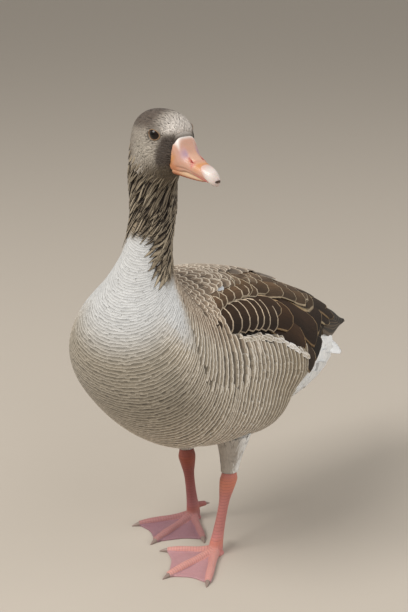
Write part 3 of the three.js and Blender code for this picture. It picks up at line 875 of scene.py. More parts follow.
def ring_roots(start, end, gap, width, jitter, middle=np.pi):
    """(row, angle) of roots, and how much of each vane shows, in mm.

    gap and width are tables of mm along and across at a row, true at the angle middle;
    jitter is a table of how far a root strays, as a share of the spacing.
    """
    fine = np.linspace(start, end, 4000)
    line = body_surface(fine, np.full(fine.shape, middle))
    speed = np.linalg.norm(np.gradient(line, fine, axis=0), axis=-1)
    steps = np.concatenate([[0], np.cumsum(speed[:-1] * np.diff(fine) / table_at(gap, fine[:-1]))])
    ring_rows = np.interp(np.arange(int(steps[-1])) + 0.5, steps, fine)
    around = np.linspace(-np.pi, np.pi, 361)
    found, exposed = [], []
    for i, row in enumerate(ring_rows):
        ring = body_surface(np.full(around.shape, row), around)
        walk = np.concatenate([[0], np.cumsum(np.linalg.norm(np.diff(ring, axis=0), axis=-1))])
        n = max(6, int(walk[-1] / table_at(width, row)))
        place = (np.arange(n) + 0.5) / n * walk[-1]
        angle = np.interp(place, walk, around)
        here, there = row_length(row, angle), row_length(row, middle)
        # where the rings crowd to a half, a quarter or less, only every 2nd, 4th or later one stays
        level = np.clip(np.round(np.log2(there / np.maximum(here, 1e-6)) - 0.1), 0, 4).astype(int)
        angle = np.interp((place + (i >> level & 1) * 0.5 * walk[-1] / n) % walk[-1], walk, around)
        kept = i % (1 << level) == 0
        stray = float(table_at(jitter, row))
        angle = angle[kept] + rng.normal(0, 2 * max(stray, SIDE_STRAY) * np.pi / n, kept.sum())
        step = table_at(gap, row) / there
        found.append(np.stack([row + rng.normal(0, stray * step, len(angle)), angle], -1))
        exposed.append((step * here * 2.0**level)[kept])
    return np.concatenate(found), np.concatenate(exposed)


def body_unwrap(row, angle):
    """The skin's unwrap: along the tube and round it."""
    return 0.02 + 0.96 * (row / LAST), 0.02 + 0.96 * ((angle / (2 * np.pi) + 0.5) % 1.0)


# %% Breast, belly, flanks and rump
# row -> mm between rings down the middle, and mm between neighbours in a ring
RING_GAP = [
    [0, 9], [2, 11], [3, 11.5], [4, 11], [5, 9.5], [6, 7.5], [7, 5.6],
    [8, 4.3], [9, 3.6], [10, 3.1], [12, 2.8],
]
RING_WIDTH = [
    [0, 13], [2, 17], [4, 18], [5, 15], [6, 11], [7, 8.5], [8, 7], [9, 6.2], [10, 5.6], [12, 5],
]
RING_STRAY = [[6, 0.03], [8, 0.1], [10, 0.14]]  # row -> share of the gap by which a root strays
OVERLAP = 2.9  # how many gaps long a feather is, so that three lie over each other

roots, exposed = ring_roots(0.35, 12.6, RING_GAP, RING_WIDTH, RING_STRAY)
row, angle = roots.T
deg = degrees_off_top(angle)
length = exposed * OVERLAP
tips = row - length / np.maximum(row_length(row, angle), 8)
# row of the tube -> degrees off the top where the mantle shows between the folded wings
MANTLE = [[3, 5], [4, 9], [5, 14], [6, 26], [6.4, 30]]
# what the folded wings cover is left out, apart from the mantle between them
shown = (deg > table_at(WING_RIM, tips) - 3) | (tips > WING_ENDS)
shown |= (deg < table_at(MANTLE, row)) & (tips > 3)
shown &= row < furrows_from(angle) + 0.9  # the neck's locks begin over the last rings
roots, row, angle, deg, exposed, length, tips = (
    v[shown] for v in (roots, row, angle, deg, exposed, length, tips)
)
shoulder = smooth(62, 46, deg) * smooth(2.4, 2.8, tips) * smooth(10.8, 9.8, row)
half = table_at(RING_WIDTH, row) * mix(0.88, 0.66, shoulder)
rounder = np.maximum(shoulder, smooth(3.1, 2.5, row))
round_tip = mix(mix(0.1, 0.06, smooth(6, 8, row)), 0.32, rounder)
# the markings are those of the place where the vane shows, a little uneven towards the tail
seen = mix(tips, row, 0.15) + rng.normal(0, 0.13, len(row)) * smooth(6, 4, row)
vane, fringe = body_markings(seen, angle)
# row -> depth of the dark line under the next row's edge
SHADE_LINE = [[1.9, 0.03], [2.2, 0.4], [5.2, 0.55], [6.6, 0.6], [8.2, 0.5], [9.5, 0.3], [11, 0.12]]
line = table_at(SHADE_LINE, seen)
line = np.minimum(mix(line, 0.45, shoulder) * rng.uniform(0.75, 1.25, len(row)), 0.85)
flat = smooth(5.6, 9.0, row)  # breast feathers lie flatter than those of belly and flanks
fluff = 6.5 * smooth(96, 125, deg) * bump(row, 2.0, 0.9)  # the white feathers under the tail
REGIONS = {
    "upper_breast_feathers": row > 9.3,
    "breast_feathers": (row > 7.7) & (row <= 9.3),
    "lower_breast_feathers": (row > 5.6) & (row <= 7.7),
    "belly_and_flank_feathers": (row > 2.6) & (row <= 5.6),
    "rump_feathers": row <= 2.6,
}
for name, chosen in REGIONS.items():
    large = name in ("belly_and_flank_feathers", "rump_feathers")
    lot = lay_vanes(
        coat_surface, body_unwrap, roots[chosen], length[chosen], half[chosen], sheared=True,
        base=mix(-2.2, -1.3, flat[chosen]), lift=mix(2.6, 0.4, flat[chosen]) + fluff[chosen], arch=0.12,
        thick=mix(0.5, 0.12, flat[chosen]), tip=round_tip[chosen][:, None, None],
        point=2.6, rim=exposed[chosen] / 4, side_rim=6.0, along=8 if large else 5,
        across=8 if large else 4,
    )
    white = name == "rump_feathers"
    coat(name, [marked(lot, vane[chosen], fringe[chosen], line[chosen])],
         WHITE_FEATHER if white else BODY_FEATHER)

# %% [markdown]
# ## The neck's furrows
#
# A goose's neck feathers are narrow and stand in ridges with deep dark furrows between. Each
# lock here is a long narrow vane with a strongly arched back, pale on top and dark at its
# sides, the dark partly their own colour and partly painted shade of the furrows, in columns
# that follow the twist of the neck. On the breast's side they end along the edge of the pale
# wedge that runs up to the throat.

# %% Neck locks
COLUMNS = 44  # locks side by side round the neck
LOCK_LEAN = 0.36  # radians by which the locks lean round the neck
LOCK_GAP = [[9.5, 13], [11, 12], [13, 10], [15, 8], [16, 5]]  # row -> mm between locks in a column


def column_roots(start, end, gap, columns):
    """(row, angle) of roots in columns at fixed angles, each shifted along by its own amount."""
    fine = np.linspace(start, end, 1500)
    middle = body_surface(fine, np.full(fine.shape, np.pi / 2))
    speed = np.linalg.norm(np.gradient(middle, fine, axis=0), axis=-1)
    steps = np.concatenate([[0], np.cumsum(speed[:-1] * np.diff(fine) / table_at(gap, fine[:-1]))])
    found = []
    for k in range(columns):
        places = np.arange(0, steps[-1]) + 0.5 * (k % 2) + rng.uniform(-0.25, 0.25)
        at = np.interp(np.clip(places, 0, steps[-1]), steps, fine)
        found.append(np.stack([at, np.full(at.shape, 2 * np.pi * (k + 0.5) / columns)], -1))
    return np.concatenate(found)


roots = column_roots(9.8, 15.8, LOCK_GAP, COLUMNS)
roots[:, 1] += rng.normal(0, 0.035, len(roots))  # radians, so that the columns aren't ruled
row, angle = roots.T
length = table_at(LOCK_GAP, row) * 2.6 * rng.uniform(0.85, 1.15, len(row))
kept = row - 0.8 * length / np.maximum(row_length(row, angle), 8) > furrows_from(angle) - 0.25
roots, row, angle, length = roots[kept], row[kept], angle[kept], length[kept]
# mm round the neck for one radian, and from it a width that makes neighbours overlap
beside = body_surface(row, angle + SLOPE_STEP) - body_surface(row, angle - SLOPE_STEP)
local = np.linalg.norm(beside, axis=-1) / (2 * SLOPE_STEP)
half = local * 2 * np.pi / COLUMNS * 0.55 * rng.uniform(0.8, 1.15, len(row))
# the locks' dark sides: partly their own colour, and partly painted shade of the furrows between them
_, furrow = body_markings(np.maximum(row, furrows_from(angle) + 0.4), angle)
furrow = mix(furrow, colour("261e17"), 0.85)
ridge = mix(colour("7a6d5b"), colour("ada08a"), rng.uniform(0, 1, (len(row), 1)) ** 1.5)
ridge = ridge * mix(1.1, 0.78, smooth(12.0, 15.4, row))[:, None]
begun = smooth(-0.2, 0.9, row - furrows_from(angle))
length, half = length * mix(0.7, 1.0, begun), half * mix(0.7, 1.0, begun)
lot = lay_vanes(
    body_surface, body_unwrap, roots, length, half,
    lean=LOCK_LEAN + rng.normal(0, 0.1, len(row)), bend=rng.normal(0, 0.7, len(row)),
    base=-3.4, lift=1.6, arch=mix(1.0, 2.8, begun), thick=0.8,
    tip=0.55, point=1.2, waist=0.6, rim=mix(0.6, 1.3, begun), side_rim=0.9, along=9, across=6,
)
coat("neck_feathers", [marked(lot, ridge, furrow)], NECK_FEATHER)

# %% [markdown]
# ## The face
#
# Face feathers are the smallest: tiny flat vanes 2 to 6 mm long that lie back from the bill.
# They stop at the bill's base and at the bare rim of the lids.

# %% Face feathers
# row -> mm between rings, mm between neighbours, and the stray as a share of the gap
FACE_GAP, FACE_WIDTH = [[15, 2.1], [20, 1.8]], [[15, 1.7], [20, 1.4]]
FACE_STRAY = [[15, 0.2], [20, 0.2]]
BILL_BEGINS = 143  # mm forward, near the middle plane
FACE_LENGTH, FACE_HALF = 5.4, 1.05  # mm, the largest of them


def behind_bill(F, z, x):
    """True where the head is feathered: behind the slanting line at which the bill begins."""
    cheek_edge = np.interp(z, [455, 470, 482, 492, 500, 512], [130, 133.5, 141, 141.3, 142, 143])
    return F < np.where(np.abs(x) > 9, cheek_edge, BILL_BEGINS)


roots, _ = ring_roots(14.9, 19.95, FACE_GAP, FACE_WIDTH, FACE_STRAY, middle=0.0)
F, z, x = tube(BODY, *roots.T, 0.0)
margin = mix(0.9, 2.8, smooth(-3, 4, F - EYE["F"]))  # in front of the eye the vanes point at it
clear = (OPENING[0] + margin, OPENING[1] + 0.8 * margin + 0.4)  # an oval round the eye without vanes
apart = np.hypot((F - EYE["F"]) / clear[0], (z - EYE["z"]) / clear[1])
kept = behind_bill(F, z, x) & ((apart > 1) | (np.abs(x) < 12))
roots, F, z, apart = roots[kept], F[kept], z[kept], apart[kept]
row, angle = roots.T
size = mix(0.6, 1.0, smooth(1.0, 2.0, apart)) * mix(1.0, 0.65, smooth(128, 140, F))
vane, fringe = body_markings(np.maximum(row, 15.8), angle)
mottle = rng.uniform(0.82, 1.16, (len(row), 1))
lot = lay_vanes(
    body_surface, body_unwrap, roots, FACE_LENGTH * size * rng.uniform(0.85, 1.15, len(row)),
    FACE_HALF * size, lean=rng.normal(0, 0.14, len(row)), base=-0.7, lift=0.55, arch=0.15, thick=0.2,
    tip=0.45, point=1.6, rim=0.45, along=3, across=2,
)
coat("face_feathers", [marked(lot, vane * mottle, fringe * mottle)], FACE_FEATHER)

# %% [markdown]
# ## Thighs
#
# The thighs are slim where they leave the belly: brown-grey in front, and a white tuft behind.

# %% Thigh feathers
lots = []
for label in SIDES:
    surface = thigh_surface(label)
    # rings from the hock up, with more feathers in a ring as the thigh widens
    places = [
        (r, a) for i, r in enumerate(np.arange(0.3, 4.1, 0.26))
        for a in turn_round(int(14 + 6 * r)) + 0.3 * (i % 2)
    ]
    roots = np.array(places) + rng.normal(0, 0.1, (len(places), 2))
    lot = lay_vanes(
        surface, lambda r, a: (0.3 + 0.1 * r / 4, 0.1 + 0.02 * a), roots,
        (13 + 2 * roots[:, 0]) * rng.uniform(0.8, 1.2, len(roots)), 3.6,
        lean=rng.normal(0, 0.2, len(roots)), base=-1.6, lift=1.8, arch=0.6, tip=0.6, point=1.4, rim=1.4,
    )
    front = smooth(-0.1, 0.6, np.sin(roots[:, 1]))[:, None] * 0.8
    shade = mix(colour("e6e5e2"), colour("9b9082"), front)
    lots.append(marked(lot, shade, shade * 1.08))
coat("thigh_feathers", lots, WHITE_FEATHER)

# %% [markdown]
# ## Wings
#
# Under the wing feathers lies a dark closed shell, so that no gap opens onto the body. The
# feathers lie on the cloak in the tracts of a real wing: small coverts at the shoulder,
# scapulars along the back, tall greater coverts, long tertials over them, and the blackish
# primaries that reach past the tail. A wing feather is placed by its tip, because the tips and
# their pale edges are what shows.

# %% Wing shells
def wing_shell(side, label):
    """A closed thin shell 6 to 9 mm under the cloak's surface in front, and 1 to 2 mm at the rear."""
    surface = cloak_surface(side)
    R, S = np.meshgrid(np.linspace(0.15, 8.5, 90), np.linspace(0.01, 0.95, 24), indexing="ij")
    fade = smooth(9.2, 6.0, R)
    outer = surface(R, S, -1.4 - 4.4 * fade)
    inner = surface(R, S, -2.1 - 6.9 * fade)
    rows, columns = R.shape
    count = rows * columns
    points = np.concatenate([outer.reshape(-1, 3), inner.reshape(-1, 3)])
    top = grid_faces(rows - 1, columns - 1)
    ids = np.arange(count).reshape(rows, columns)
    edge = np.concatenate([ids[0, :], ids[1:, -1], ids[-1, -2::-1], ids[-2:0:-1, 0]])
    after = np.roll(edge, -1)
    wall = np.stack([edge, edge + count, after + count, after], -1)
    faces = np.concatenate([top, (top + count)[:, ::-1], wall])
    faces = outward_faces(points, faces, np.zeros((0, 3), int))
    piece = add_mesh("wing_bed_" + label, points, faces, SHADED_DOWN)
    store(piece, "marking", np.tile(colour("2e241c"), (len(points), 1)))
    finish_piece(piece)


for label, side in SIDES.items():
    wing_shell(side, label)

# %% Wing feathers by tracts
def wing_unwrap(row, share):
    """The cloak's own unwrap."""
    return 0.02 + 0.96 * np.clip(row / CLOAK_LAST, 0, 1), 0.02 + 0.96 * np.clip(share, 0, 1)


# cloak row -> share across at which the flank feathers close over the wing's lower edge
FLANK_EDGE = [[0.8, 0.84], [1.07, 0.95], [1.73, 0.91], [2.4, 0.91], [3.05, 0.96], [4.1, 0.98]]


def wing_lots(side):
    """Vanes of one folded wing: lists of lots for coverts, flight feathers and the flank's edge."""
    surface = cloak_surface(side)
    covert, flight, flank = [], [], []

    def lay(into, tips, shares, length, half, vane, fringe, rim,
            astray=0.02, sway=0.04, line=0.0, **more):
        """Adds a lot placed by its tips: cloak rows and shares, mm, colours, and the fringe's mm."""
        tips = np.asarray(tips, float)
        shares = np.broadcast_to(np.asarray(shares, float), tips.shape)
        n = len(tips)
        lean = more.pop("lean", 0.0) + rng.normal(0, sway, n)
        places = np.stack([tips + rng.normal(0, astray, n), shares + rng.normal(0, astray / 3, n)], -1)
        lot = lay_vanes(surface, wing_unwrap, places, length * rng.uniform(0.97, 1.03, n), half,
                        toward=1, from_tip=True, lean=lean, rim=rim, **more)
        shade = rng.uniform(0.88, 1.12, (n, 1))
        if isinstance(vane, str):
            vane, fringe = np.tile(colour(vane), (n, 1)), np.tile(colour(fringe), (n, 1))
        into.append(marked(lot, vane * shade, fringe, line))

    round_tip = {"tip": 0.3, "waist": 0.7, "thick": 0.6}
    blunt_tip = {**round_tip, "tip": 0.2}
    # the flank's upper edge: feathers folded up over the wing, with a bright scalloped rim
    tips = np.arange(1.0, 3.6, 0.1)
    bright = (bump(tips, 2.75, 0.5) + 0.15)[:, None]
    vane = mix(colour("a0947f"), colour("cfc8be"), bright)
    fringe = mix(colour("d5cbbd"), colour("f7f4ef"), bright)
    lay(flank, tips, table_at(FLANK_EDGE, tips) + 0.02, 15, 2.7, vane, fringe, 1.3,
        base=-1.4, lift=2.9, arch=0.45, tip=0.3, waist=0.8, thick=0.4, line=0.35,
        along=8, across=6, lean=0.25)
    # greater coverts: tall crescents above the flank's edge
    lay(covert, [0.6, 0.9, 1.2, 1.5, 1.78, 1.95, 2.15, 2.42], 0.7, 56, 21, "2f2115", "e0ccb2", 1.7,
        base=-4.2, lift=4.4, arch=1.8, along=12, across=12, lean=0.32, **blunt_tip)
    # middle coverts
    lay(covert, np.arange(0.95, 2.4, 0.28), 0.36, 46, 13, "5c4835", "e0ceb4", 1.8,
        base=-2.8, lift=3.2, arch=1.2, along=9, across=8, lean=0.2, **round_tip)
    # rear coverts and the secondaries' ends, under the tertials
    lay(covert, np.arange(3.0, 4.5, 0.3), 0.82, 80, 17, "2a1f16", "9c8466", 1.3,
        base=-6.4, lift=2.6, arch=1.0, along=12, across=8, lean=0.2, **round_tip)
    lay(covert, [4.9, 5.25, 5.6], [0.97, 0.9, 0.84], 100, 12, "221a13", "8a7a62", 1.2,
        base=-5.6, lift=2.8, arch=1.0, along=12, across=8, lean=0.2, **round_tip)
    # tertials: the long brown ones in front, the blackish ones behind, the rear ones bent down;
    # each is its tip's row and share, half width and length in mm, lean, bend and two colours
    tertials = [
        (4.75, 1.04, 13, 90, 0.36, 0.4, "1d1712", "6a5847"),
        (4.15, 0.98, 17, 90, 0.3, 0.4, "2c2118", "a99376"),
        (3.45, 0.85, 19, 90, 0.15, 0.2, "372516", "a98c66"),
        (5.8, 0.8, 11, 120, 0.2, 0.3, "2b211a", "bba888"),
        (5.1, 0.68, 15, 120, 0.15, 0.2, "2b1e15", "b39b78"),
        (4.4, 0.7, 19, 110, 0.15, 0.2, "302014", "b1936c"),
        (3.1, 0.62, 20, 100, 0.0, 0.15, "372414", "b89a74"),
        (2.75, 0.56, 15, 90, 0.0, 0.15, "3a291b", "c9b090"),
        (6.4, 0.6, 10, 130, 0.1, 0.2, "2f241b", "a98d68"),
        (6.2, 0.3, 11, 120, 0.0, 0.0, "33271d", "b8a27f"),
        (5.6, 0.1, 13, 110, 0.0, 0.0, "3b2d21", "c2ad8b"),
    ]
    for i, (tip_row, share, wide, long, lean, bend, vane, fringe) in enumerate(tertials):
        base = -5.4 + 0.35 * i  # each later one lies over the last
        lay(covert, [tip_row], share, long, wide, vane, fringe, 1.9, base=base, lift=3.0,
            arch=1.4, thick=0.8, tip=0.26, point=2.0, waist=0.6, along=18, across=10, lean=lean,
            bend=bend, astray=0.0)
    # scapulars along the back
    lay(covert, np.arange(2.0, 5.3, 0.5), 0.13, 75, 17, "6a5745", "dccbb1", 2.2,
        base=-2.0, lift=2.8, arch=1.0, along=12, across=8, **round_tip)
    lay(covert, np.arange(2.3, 5.5, 0.55), 0.29, 80, 17, "5a4632", "d9c5a6", 2.1,
        base=-2.6, lift=3.0, arch=1.3, along=12, across=8, **round_tip)
    # lesser coverts at the shoulder and along the back
    lay(covert, np.arange(0.8, 2.7, 0.27), 0.2, 42, 11, "7a6753", "e2d2b9", 1.9,
        base=-1.8, lift=2.6, arch=0.9, along=8, across=6, lean=0.1, **round_tip)
    lay(covert, np.arange(0.75, 5.1, 0.34), 0.06, 50, 13, "735f4b", "d8c5a9", 1.9,
        base=-1.4, lift=2.3, arch=0.7, along=8, across=6, **round_tip)
    # two small pale feathers that stick out at the shoulder
    lay(covert, [1.33, 1.05], [0.22, 0.03], 16, 4.5, "aeb1b5", "d3d7db", 1.0, base=0.4, lift=1.0,
        arch=0.6, along=8, across=6, **round_tip)
    # primaries, which hardly sway, so that none crosses to the other side
    tips = np.arange(6.2, 8.6, 0.32)
    lay(flight, tips, np.interp(tips, [6.2, 8.5], [0.55, 0.33]), 90, 8, "1f1a17", "6f6050", 0.8,
        sway=0.004, base=-4.6, lift=3.4, arch=1.0, thick=0.8, tip=0.12, point=1.6, waist=0.8,
        along=18, across=6)
    return covert, flight, flank


for label, side in SIDES.items():
    covert, flight, flank = wing_lots(side)
    coat("flank_edge_feathers_" + label, flank, BODY_FEATHER)
    coat("wing_feathers_" + label, covert, WING_FEATHER,
         (f"scapulars_{label}", f"wing_{label}", f"tertials_{label}"))
    coat("primary_feathers_" + label, flight, FLIGHT_FEATHER, (f"primaries_{label}",))

# %% [markdown]
# ## Tail
#
# Twelve short stiff feathers lie like a closed fan, the middle pair on top. Their grey is
# edged with white, and the outer ones are white.

# %% Tail feathers
TAIL_FEATHERS = 12
across = np.linspace(-0.85, 0.85, TAIL_FEATHERS)
roots = np.stack([np.zeros(TAIL_FEATHERS), across], -1)
lot = lay_vanes(
    tail_surface, lambda a, c: (0.9 + 0.03 * a, 0.5 + 0.2 * c), roots, 68 - 8 * across**2, 6.0,
    toward=1, lean=across * 0.02, base=-2.2 * np.abs(across), lift=0.6, arch=0.5, thick=0.9,
    tip=0.16, waist=0.8, rim=5.0, along=14, across=8,
)
vane = np.tile(colour("8b8278"), (TAIL_FEATHERS, 1))
vane[np.abs(across) > 0.4] = colour("f4f5f5")
lot = marked(lot, vane, np.tile(colour("f8f9f9"), (TAIL_FEATHERS, 1)))
coat("tail_feathers", [lot], WHITE_FEATHER, ("tail",))

# %% [markdown]
# ## The bill
#
# The bill is two tubes through sections, like the body, with relief added along their normals:
# a slit nostril in a shallow hollow, a groove and a lip along the cutting edge with fine
# lamellae, and a soft fold at the base. The pale nail is a thin shell over the tip, cut off by
# a slanting plane. A subdivided cage could be sculpted instead, but sections keep the bill's
# outline exact from every side.

# %% Materials of bare skin and horn
def skin_material(name, roughness, cell, relief, mottle, subsurface=0.06, coat_weight=0.0):
    """Bare skin or horn: a stored marking, mottled, with pebbles or pores cell mm across.

    relief is their height in mm, mottle the share by which the tone wanders. The scale
    attribute cuts a groove wherever its first number is whole, as deep as its second says.
    """
    material, tree, shader = new_material(
        name, roughness, Subsurface_Weight=subsurface, Subsurface_Scale=0.003, Coat_Weight=coat_weight
    )
    shader.inputs["Specular IOR Level"].default_value = 0.4
    place = node(tree, "ShaderNodeTexCoord").outputs["Object"]
    pebble_inputs = {"Scale": 1 / (cell * MM), "Vector": place}
    pebble = node(tree, "ShaderNodeTexVoronoi", pebble_inputs, feature="DISTANCE_TO_EDGE").outputs[0]
    raised = ramp(tree, pebble, 0.0, 0.18)
    scale = node(tree, "ShaderNodeSeparateXYZ", {0: attribute(tree, "scale", "Vector")}).outputs
    wave = maths(tree, "ABSOLUTE", maths(tree, "SINE", maths(tree, "MULTIPLY", scale[0], math.pi)))
    groove = maths(tree, "MULTIPLY", ramp(tree, wave, 0.0, 0.4, 1.0, 0.0), scale[1])
    height = maths(tree, "SUBTRACT", maths(tree, "MULTIPLY", raised, 0.6), groove)
    patchy = maths(tree, "MULTIPLY", maths(tree, "SUBTRACT", noise(tree, 160.0, 4.0), 0.5), 2 * mottle)
    value = maths(tree, "ADD", 1 - mottle * 0.5, patchy)
    value = maths(tree, "ADD", value, maths(tree, "MULTIPLY", raised, mottle))
    dark_groove = maths(tree, "SUBTRACT", 1.0, maths(tree, "MULTIPLY", groove, 0.3))
    value = maths(tree, "MULTIPLY", value, dark_groove)
    inputs = {"Value": value, "Color": attribute(tree, "marking", "Color")}
    shaded = node(tree, "ShaderNodeHueSaturation", inputs).outputs[0]
    tree.links.new(shaded, shader.inputs["Base Color"])
    bumped(tree, shader, height, relief * MM, 0.6)
    return material


# the bill's skin is waxy: a soft gloss over fine pebbles, with a little light let in
BILL_SKIN = skin_material("waxy_bill_skin", 0.42, cell=0.9, relief=0.12, mottle=0.05, coat_weight=0.1)
# the nail is polished by use, and so the glossiest horn
NAIL_HORN = skin_material("pale_nail_horn", 0.36, cell=2.5, relief=0.05, mottle=0.03, coat_weight=0.2)
# the legs' skin is dry leather with small raised scales
LEG_SKIN = skin_material("scaly_leg_skin", 0.5, cell=1.3, relief=0.4, mottle=0.09)
# claws are scratched dull, and lids are bare and thin
CLAW_HORN = skin_material("dull_claw_horn", 0.4, cell=2.0, relief=0.05, mottle=0.08, subsurface=0.0)
LID_SKIN = skin_material("bare_lid_skin", 0.5, cell=0.7, relief=0.15, mottle=0.06)
BARE = (BILL_SKIN, NAIL_HORN, LEG_SKIN, CLAW_HORN, LID_SKIN)
print("skin and horn:", [material.name for material in BARE])

# %% Upper bill, nail and lower bill
BILL_UPPER = np.array(
    [
        [132, 493, 127, 467, 13, 0.0, 0.6],
        [142, 497.5, 134, 461.5, 14.3, -0.03, 0.45],
        [149, 489, 145, 463, 13.3, 0.03, 0.5],
        [156, 481, 155, 465, 11.8, 0.08, 0.55],
        [165.5, 476, 165, 463.5, 10.5, 0.1, 0.6],
        [174, 473.5, 175, 460, 8.8, 0.05, 0.7],
        [181.5, 471, 184, 457, 6.8, 0.0, 0.8],
        [187.5, 467.5, 188.5, 456, 4.6, 0.0, 0.9],
        [190.8, 463.5, 190.6, 457, 2.6, 0.0, 1.0],
        [191.6, 460.8, 191.6, 459.2, 0.6, 0.0, 1.0],
    ]
)
BILL_LOWER = np.array(
    [
        [139, 472, 134, 459, 11.5, 0.15, 0.9],
        [151, 470, 147, 458, 10, 0.15, 0.9],
        [163, 467, 160, 457.5, 8.5, 0.15, 0.9],
        [173, 464, 171, 457.5, 6.5, 0.15, 0.9],
        [180, 462, 179.5, 458.5, 4.5, 0.1, 0.9],
        [183, 460.8, 182.8, 459, 2, 0.1, 0.9],
    ]
)
NOSTRIL = np.array([[157.6, 480.4], [161.6, 476.6]])  # the slit's two ends, F and z
LAMELLA_GAP = 1.9  # mm, coarser than on a live bird, so that the ridges show


def from_nostril(F, z):
    """Distance in mm from the nostril's slit, a straight line seen from the side."""
    start_f, start_z = NOSTRIL[0]
    run_f, run_z = NOSTRIL[1] - NOSTRIL[0]
    along = ((F - start_f) * run_f + (z - start_z) * run_z) / (run_f**2 + run_z**2)
    along = np.clip(along, 0, 1)
    return np.hypot(F - start_f - along * run_f, z - start_z - along * run_z)


def bill_relief(row, angle):
    """Millimetres by which the upper bill stands out: nostril, hollow, base fold, lip, lamellae."""
    F, z, x = tube(BILL_UPPER, row, angle, 0.0)
    deg = np.abs(np.degrees(angle))
    slit = from_nostril(F, z)
    side = smooth(4, 8, np.abs(x))
    nostril = -1.3 * bump(slit, 0, 0.8) + 0.4 * bump(slit, 1.9, 0.8)
    hollow = -0.8 * bump(F, 154, 6) * bump(z, 482, 5)
    hollow = hollow - 1.3 * smooth(139, 132, F) * smooth(135, 115, deg)
    fold = 0.5 * bump(F + 0.4 * (z - 480), 143.5, 1.6) - 0.35 * bump(F + 0.4 * (z - 480), 147, 1.8)
    body = smooth(140, 146, F) * smooth(186, 178, F)
    lip = body * (0.45 * bump(deg, 140, 8) - 0.5 * bump(deg, 122, 6))
    lamellae = body * 0.14 * np.sin(2 * np.pi * F / LAMELLA_GAP) * bump(deg, 146, 9)
    return side * (nostril + hollow) + fold * smooth(110, 80, deg) + lip + lamellae


def bill_surface(row, angle, height=0.0):
    """A point of the upper bill, turned with the head."""
    return turned(*tube(BILL_UPPER, row, angle, height + bill_relief(row, angle)), HEAD_TURN)


def bare_piece(name, points, faces, marking, material, replaced):
    """A piece of skin or horn without scutes, with its marking."""
    piece = add_mesh(name, points, faces, material)
    store(piece, "marking", marking)
    store(piece, "scale", np.zeros((len(points), 3)))
    finish_piece(piece, replaced)
    print(f"{name}: {len(piece.data.polygons)} faces")
    return piece


bill_last = len(BILL_UPPER) - 1
points, faces, row, angle = tube_mesh(np.linspace(0, bill_last, 200), turn_round(180), bill_surface)
F, z, x = tube(BILL_UPPER, row, angle, 0.0)
deg = np.abs(np.degrees(angle))
slit = from_nostril(F, z) + 20 * smooth(7, 4, np.abs(x))  # near the middle plane there's none
behind_slant = smooth(146, 140, F - 0.8 * (z - 478))
# a flesh pink, orange along the base and the edge, mauve above the nostril, and red round its slit;
# the darkest red in the slit itself is painted shade of the opening
marking = lay_over(
    F.shape,
    ("be927d", 1.0),
    ("c99f88", smooth(45, 15, deg) * smooth(150, 156, F)),
    ("c48a58", 0.9 * smooth(66, 98, deg) * smooth(176, 166, F) * behind_slant),
    ("c0824c", 0.9 * bump(F, 170, 4.5) * bump(z, 473, 4.5)),
    ("bf7a50", 0.9 * bump(F, 139, 7) * bump(z, 467, 6)),
    ("a98b9c", 0.9 * bump(F, 152.5, 5) * bump(z, 484, 5.5) * smooth(4, 8, np.abs(x))),
    ("bc6862", 0.85 * smooth(118, 132, deg) * smooth(160, 172, F)),
    ("dcd3cd", smooth(147.0, 144.5, F + 0.3 * (z - 490)) * smooth(58, 36, deg)),
    ("b5524a", 0.75 * bump(F, 163.5, 1.4) * bump(z, 473.5, 3.0)),
    ("b0443a", 0.85 * bump(slit, 0, 1.7)),
    ("8a1c18", smooth(1.1, 0.5, slit)),
)
bare_piece("upper_bill", points, faces, marking, BILL_SKIN, ("bill_upper",))

# the nail begins where the tube crosses a slanting plane, found for each angle
NAIL_PLANE = (0.783, 0.622, 427.0)  # F, z and distance: the nail is where 0.783 F + 0.622 z > 427
fine = np.linspace(3, bill_last, 500)
angles = turn_round(96)
F, z, _ = tube(BILL_UPPER, *np.meshgrid(fine, angles), 0.0)
ahead = NAIL_PLANE[0] * F + NAIL_PLANE[1] * z - NAIL_PLANE[2]
nail_from = fine[np.argmax(ahead > 0, axis=1)]


def nail_row(v, angle):
    """The bill's row at a share v of the nail, from the plane to the tip."""
    return mix(np.interp(angle, angles, nail_from, period=2 * np.pi), bill_last, np.abs(v))


def nail_place(v, angle):
    """The nail: v from -1 to 0 goes up inside the bill to its edge, from 0 to 1 out to the tip."""
    out = mix(-0.35, 0.5, smooth(0, 0.22, v))
    return bill_surface(nail_row(v, angle), angle, np.where(v < 0, -0.9, out))


points, faces, v, angle = tube_mesh(np.linspace(-1, 1, 81), angles, nail_place)
F, z, _ = tube(BILL_UPPER, nail_row(v, angle), angle, 0.0)
marking = lay_over(
    F.shape, ("c3b0a8", 1.0), ("c79d92", smooth(0.35, 0.0, v)), ("d8d0ca", 0.7 * bump(F, 184, 6)),
    ("4a392f", smooth(1.4, 0.8, np.hypot(F - 191.4, z - 460.5))),
)
bare_piece("nail", points, faces, marking, NAIL_HORN, ("bill_nail",))


def lower_place(row, angle):
    """A point of the lower bill, with a thin rim along its upper edge."""
    rim = 0.35 * bump(np.abs(np.degrees(angle)), 62, 9)
    return turned(*tube(BILL_LOWER, row, angle, rim), HEAD_TURN)


lower_rows = np.linspace(0, len(BILL_LOWER) - 1, 110)
points, faces, row, angle = tube_mesh(lower_rows, turn_round(96), lower_place)
F, _, _ = tube(BILL_LOWER, row, angle, 0.0)
deg = np.abs(np.degrees(angle))
# a pale pink, orange-red underneath and orange at the base; the dark brown along its top is a painted
# shadow of the upper bill over the mouth's line
marking = lay_over(
    F.shape, ("c9a888", 1.0), ("b2644c", smooth(100, 125, deg)), ("6a3529", smooth(60, 48, deg)),
    ("b97652", 0.7 * bump(F, 141, 8)),
)
bare_piece("lower_bill", points, faces, marking, BILL_SKIN, ("bill_lower",))

